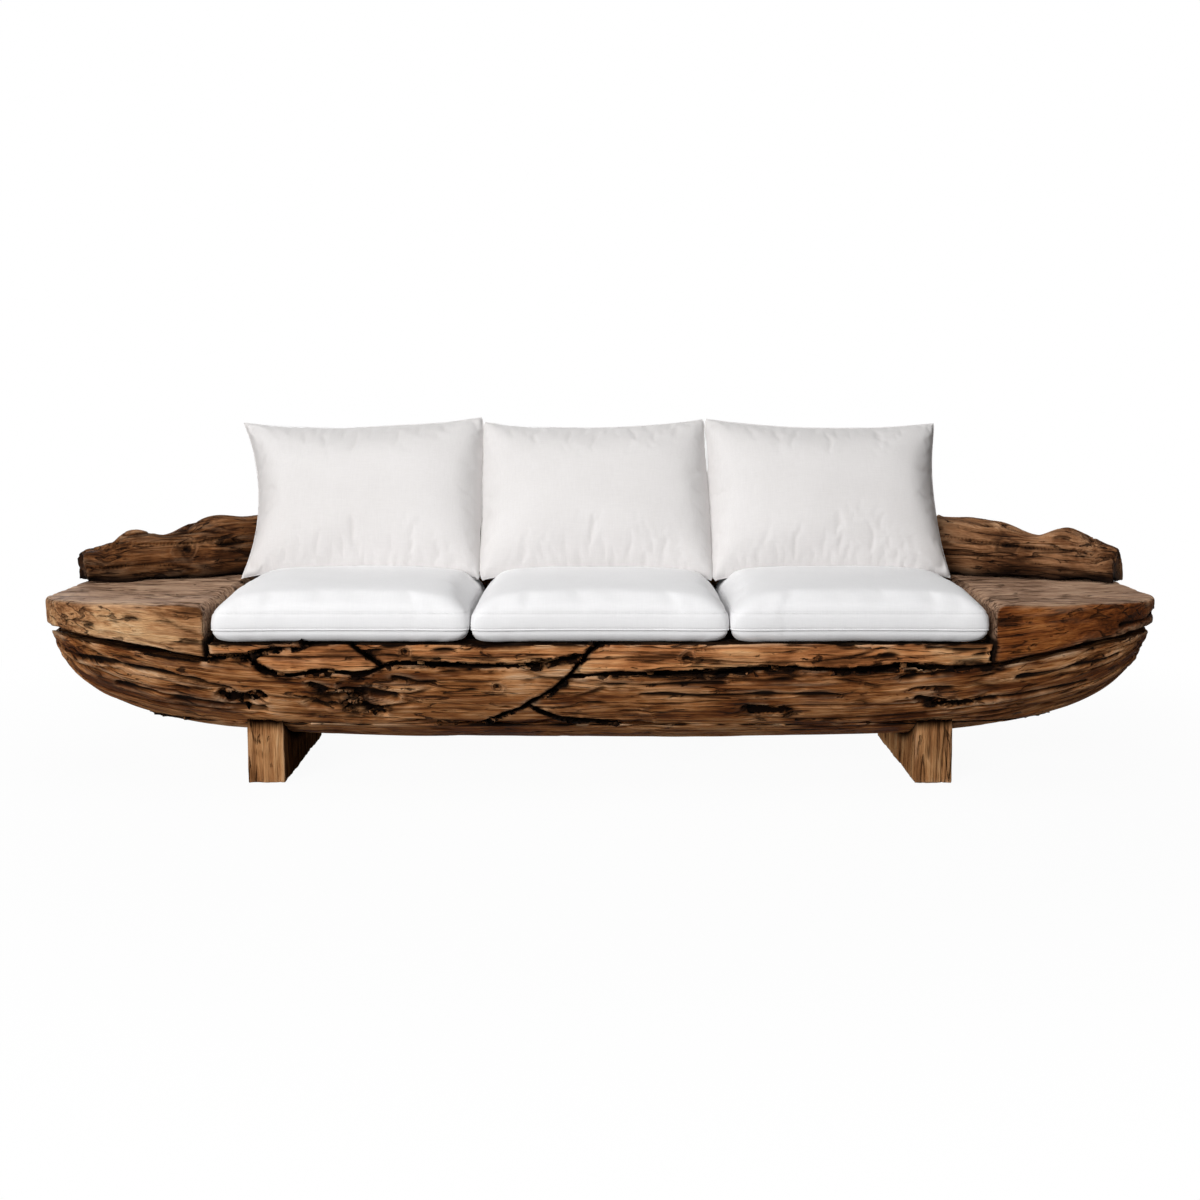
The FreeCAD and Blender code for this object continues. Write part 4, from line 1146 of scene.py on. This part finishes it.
def back_form(corners, draws):
    """Two panels sewn round the rim, with the rim drawn in between the corners.

    The corners are moves along and up, for the top left, top right, bottom left and bottom right, and the
    draws are how far the left and right sides come in.
    """
    width, height, thickness = BACK_SIZE
    bpy.ops.object.select_all(action="DESELECT")
    bpy.ops.mesh.primitive_grid_add(x_subdivisions=BACK_ACROSS, y_subdivisions=BACK_UP, size=2)
    piece = bpy.context.object
    points = read_points(piece)
    write_points(piece, points[:, (0, 2, 1)])
    panels = piece.modifiers.new("panels", "SOLIDIFY")
    panels.thickness = RIM_THICKNESS
    panels.offset = 0
    bpy.ops.object.modifier_apply(modifier="panels")
    points = read_points(piece)
    u, v = np.clip(points[:, 0], -1, 1), np.clip(points[:, 2], -1, 1)
    blunt = 1 - CORNER_BLUNTING * np.abs(u * v) ** 16
    bulge = thickness / 2 * (1 - np.abs(u) ** 2.6) ** (1 / 2.6) * (1 - np.abs(v) ** 2.2) ** (1 / 1.9)
    right, top = (u + 1) / 2, (v + 1) / 2
    shares = np.column_stack([(1 - right) * top, right * top, (1 - right) * (1 - top), right * (1 - top)])
    moves = shares @ np.array(corners)
    side_draw = np.where(u < 0, draws[0], draws[1]) * (1 - v * v) ** 0.85
    end_draw = np.where(v > 0, BACK_TOP_DRAW, BACK_FOOT_DRAW) * (1 - u * u) ** 0.7
    formed = np.column_stack([
        u * blunt * (width / 2 - side_draw) + moves[:, 0],
        np.sign(points[:, 1]) * (RIM_THICKNESS / 2 + bulge),
        v * blunt * (height / 2 - end_draw) + height / 2 + moves[:, 1],
    ])
    write_points(piece, formed)
    held = piece.vertex_groups.new(name="held")
    rim = np.nonzero((np.abs(u) > 0.999) | (np.abs(v) > 0.999))[0]
    held.add(rim.tolist(), 1.0, "REPLACE")
    return piece


# %% Rim and lean
BACK_LEAN = math.radians(25)


def rim_of(piece):
    """The sewn edge of a back cushion, as points in order round it."""
    points = read_points(piece)
    row = BACK_ACROSS + 1
    count = row * (BACK_UP + 1)
    order = list(range(row))
    order += [row * j + row - 1 for j in range(1, BACK_UP + 1)]
    order += [row * BACK_UP + i for i in range(row - 2, -1, -1)]
    order += [row * j for j in range(BACK_UP - 1, 0, -1)]
    return np.array([(points[i] + points[i + count]) / 2 for i in order])


def leaned(points):
    """Tip points back about the foot of the cushion."""
    c, s = math.cos(BACK_LEAN), math.sin(BACK_LEAN)
    x, y, z = points.T
    return np.column_stack([x, y * c + z * s, z * c - y * s])


# %% [markdown]
# ## Three back cushions
# Each has its own corners, as in the photograph. It is blown up upright, sewn round its rim, and then
# leaned back against the logs.

# %% Make the three back cushions
# How far each corner sits from a plain rectangle, as moves along and up in metres.
BACK_CORNERS = (
    ((-0.053, -0.014), (-0.010, 0.002), (-0.03, -0.028), (-0.008, -0.032)),
    ((-0.010, -0.012), (-0.024, -0.004), (-0.008, -0.032), (-0.009, -0.032)),
    ((-0.024, -0.003), (-0.010, -0.016), (-0.009, -0.032), (0.008, -0.027)),
)
BACK_DRAWS = ((0.05, 0.0), (0.0, 0.0), (0.0, 0.028))
BACK_SWELL_CAP = 0.016
BACK_BEND = 0.12
BACK_SLACK = -0.02
BACK_SAG = 0.004
BACK_FOOT = (0, 0.0943, 0.4948)
RIM_SEAM = (0.003, 0.0, 0.004, 0.022)
RIM_RADIUS = 0.0016
for index, side in enumerate(SIDES):
    piece = back_form(BACK_CORNERS[index], BACK_DRAWS[index])
    piece.name = "back_cushion_" + side
    slack = {"bend": BACK_BEND, "shrink": BACK_SLACK, "held": "held"}
    swell(piece, BACK_SWELL_CAP, **slack)
    rim = rim_of(piece)
    finer(piece)
    seam(piece, [(rim, *RIM_SEAM)], 1.3 + index * 3.7)
    joined(piece, [tubes("rim", [rim], RIM_RADIUS, True)])
    sag(piece, 1.7 + 2.9 * index, BACK_SAG)
    place = np.array(BACK_FOOT) + np.array([(index - 1) * PITCH, 0, 0])
    write_points(piece, leaned(read_points(piece)) + place)
    dress(piece, back_fabric, "back", side)
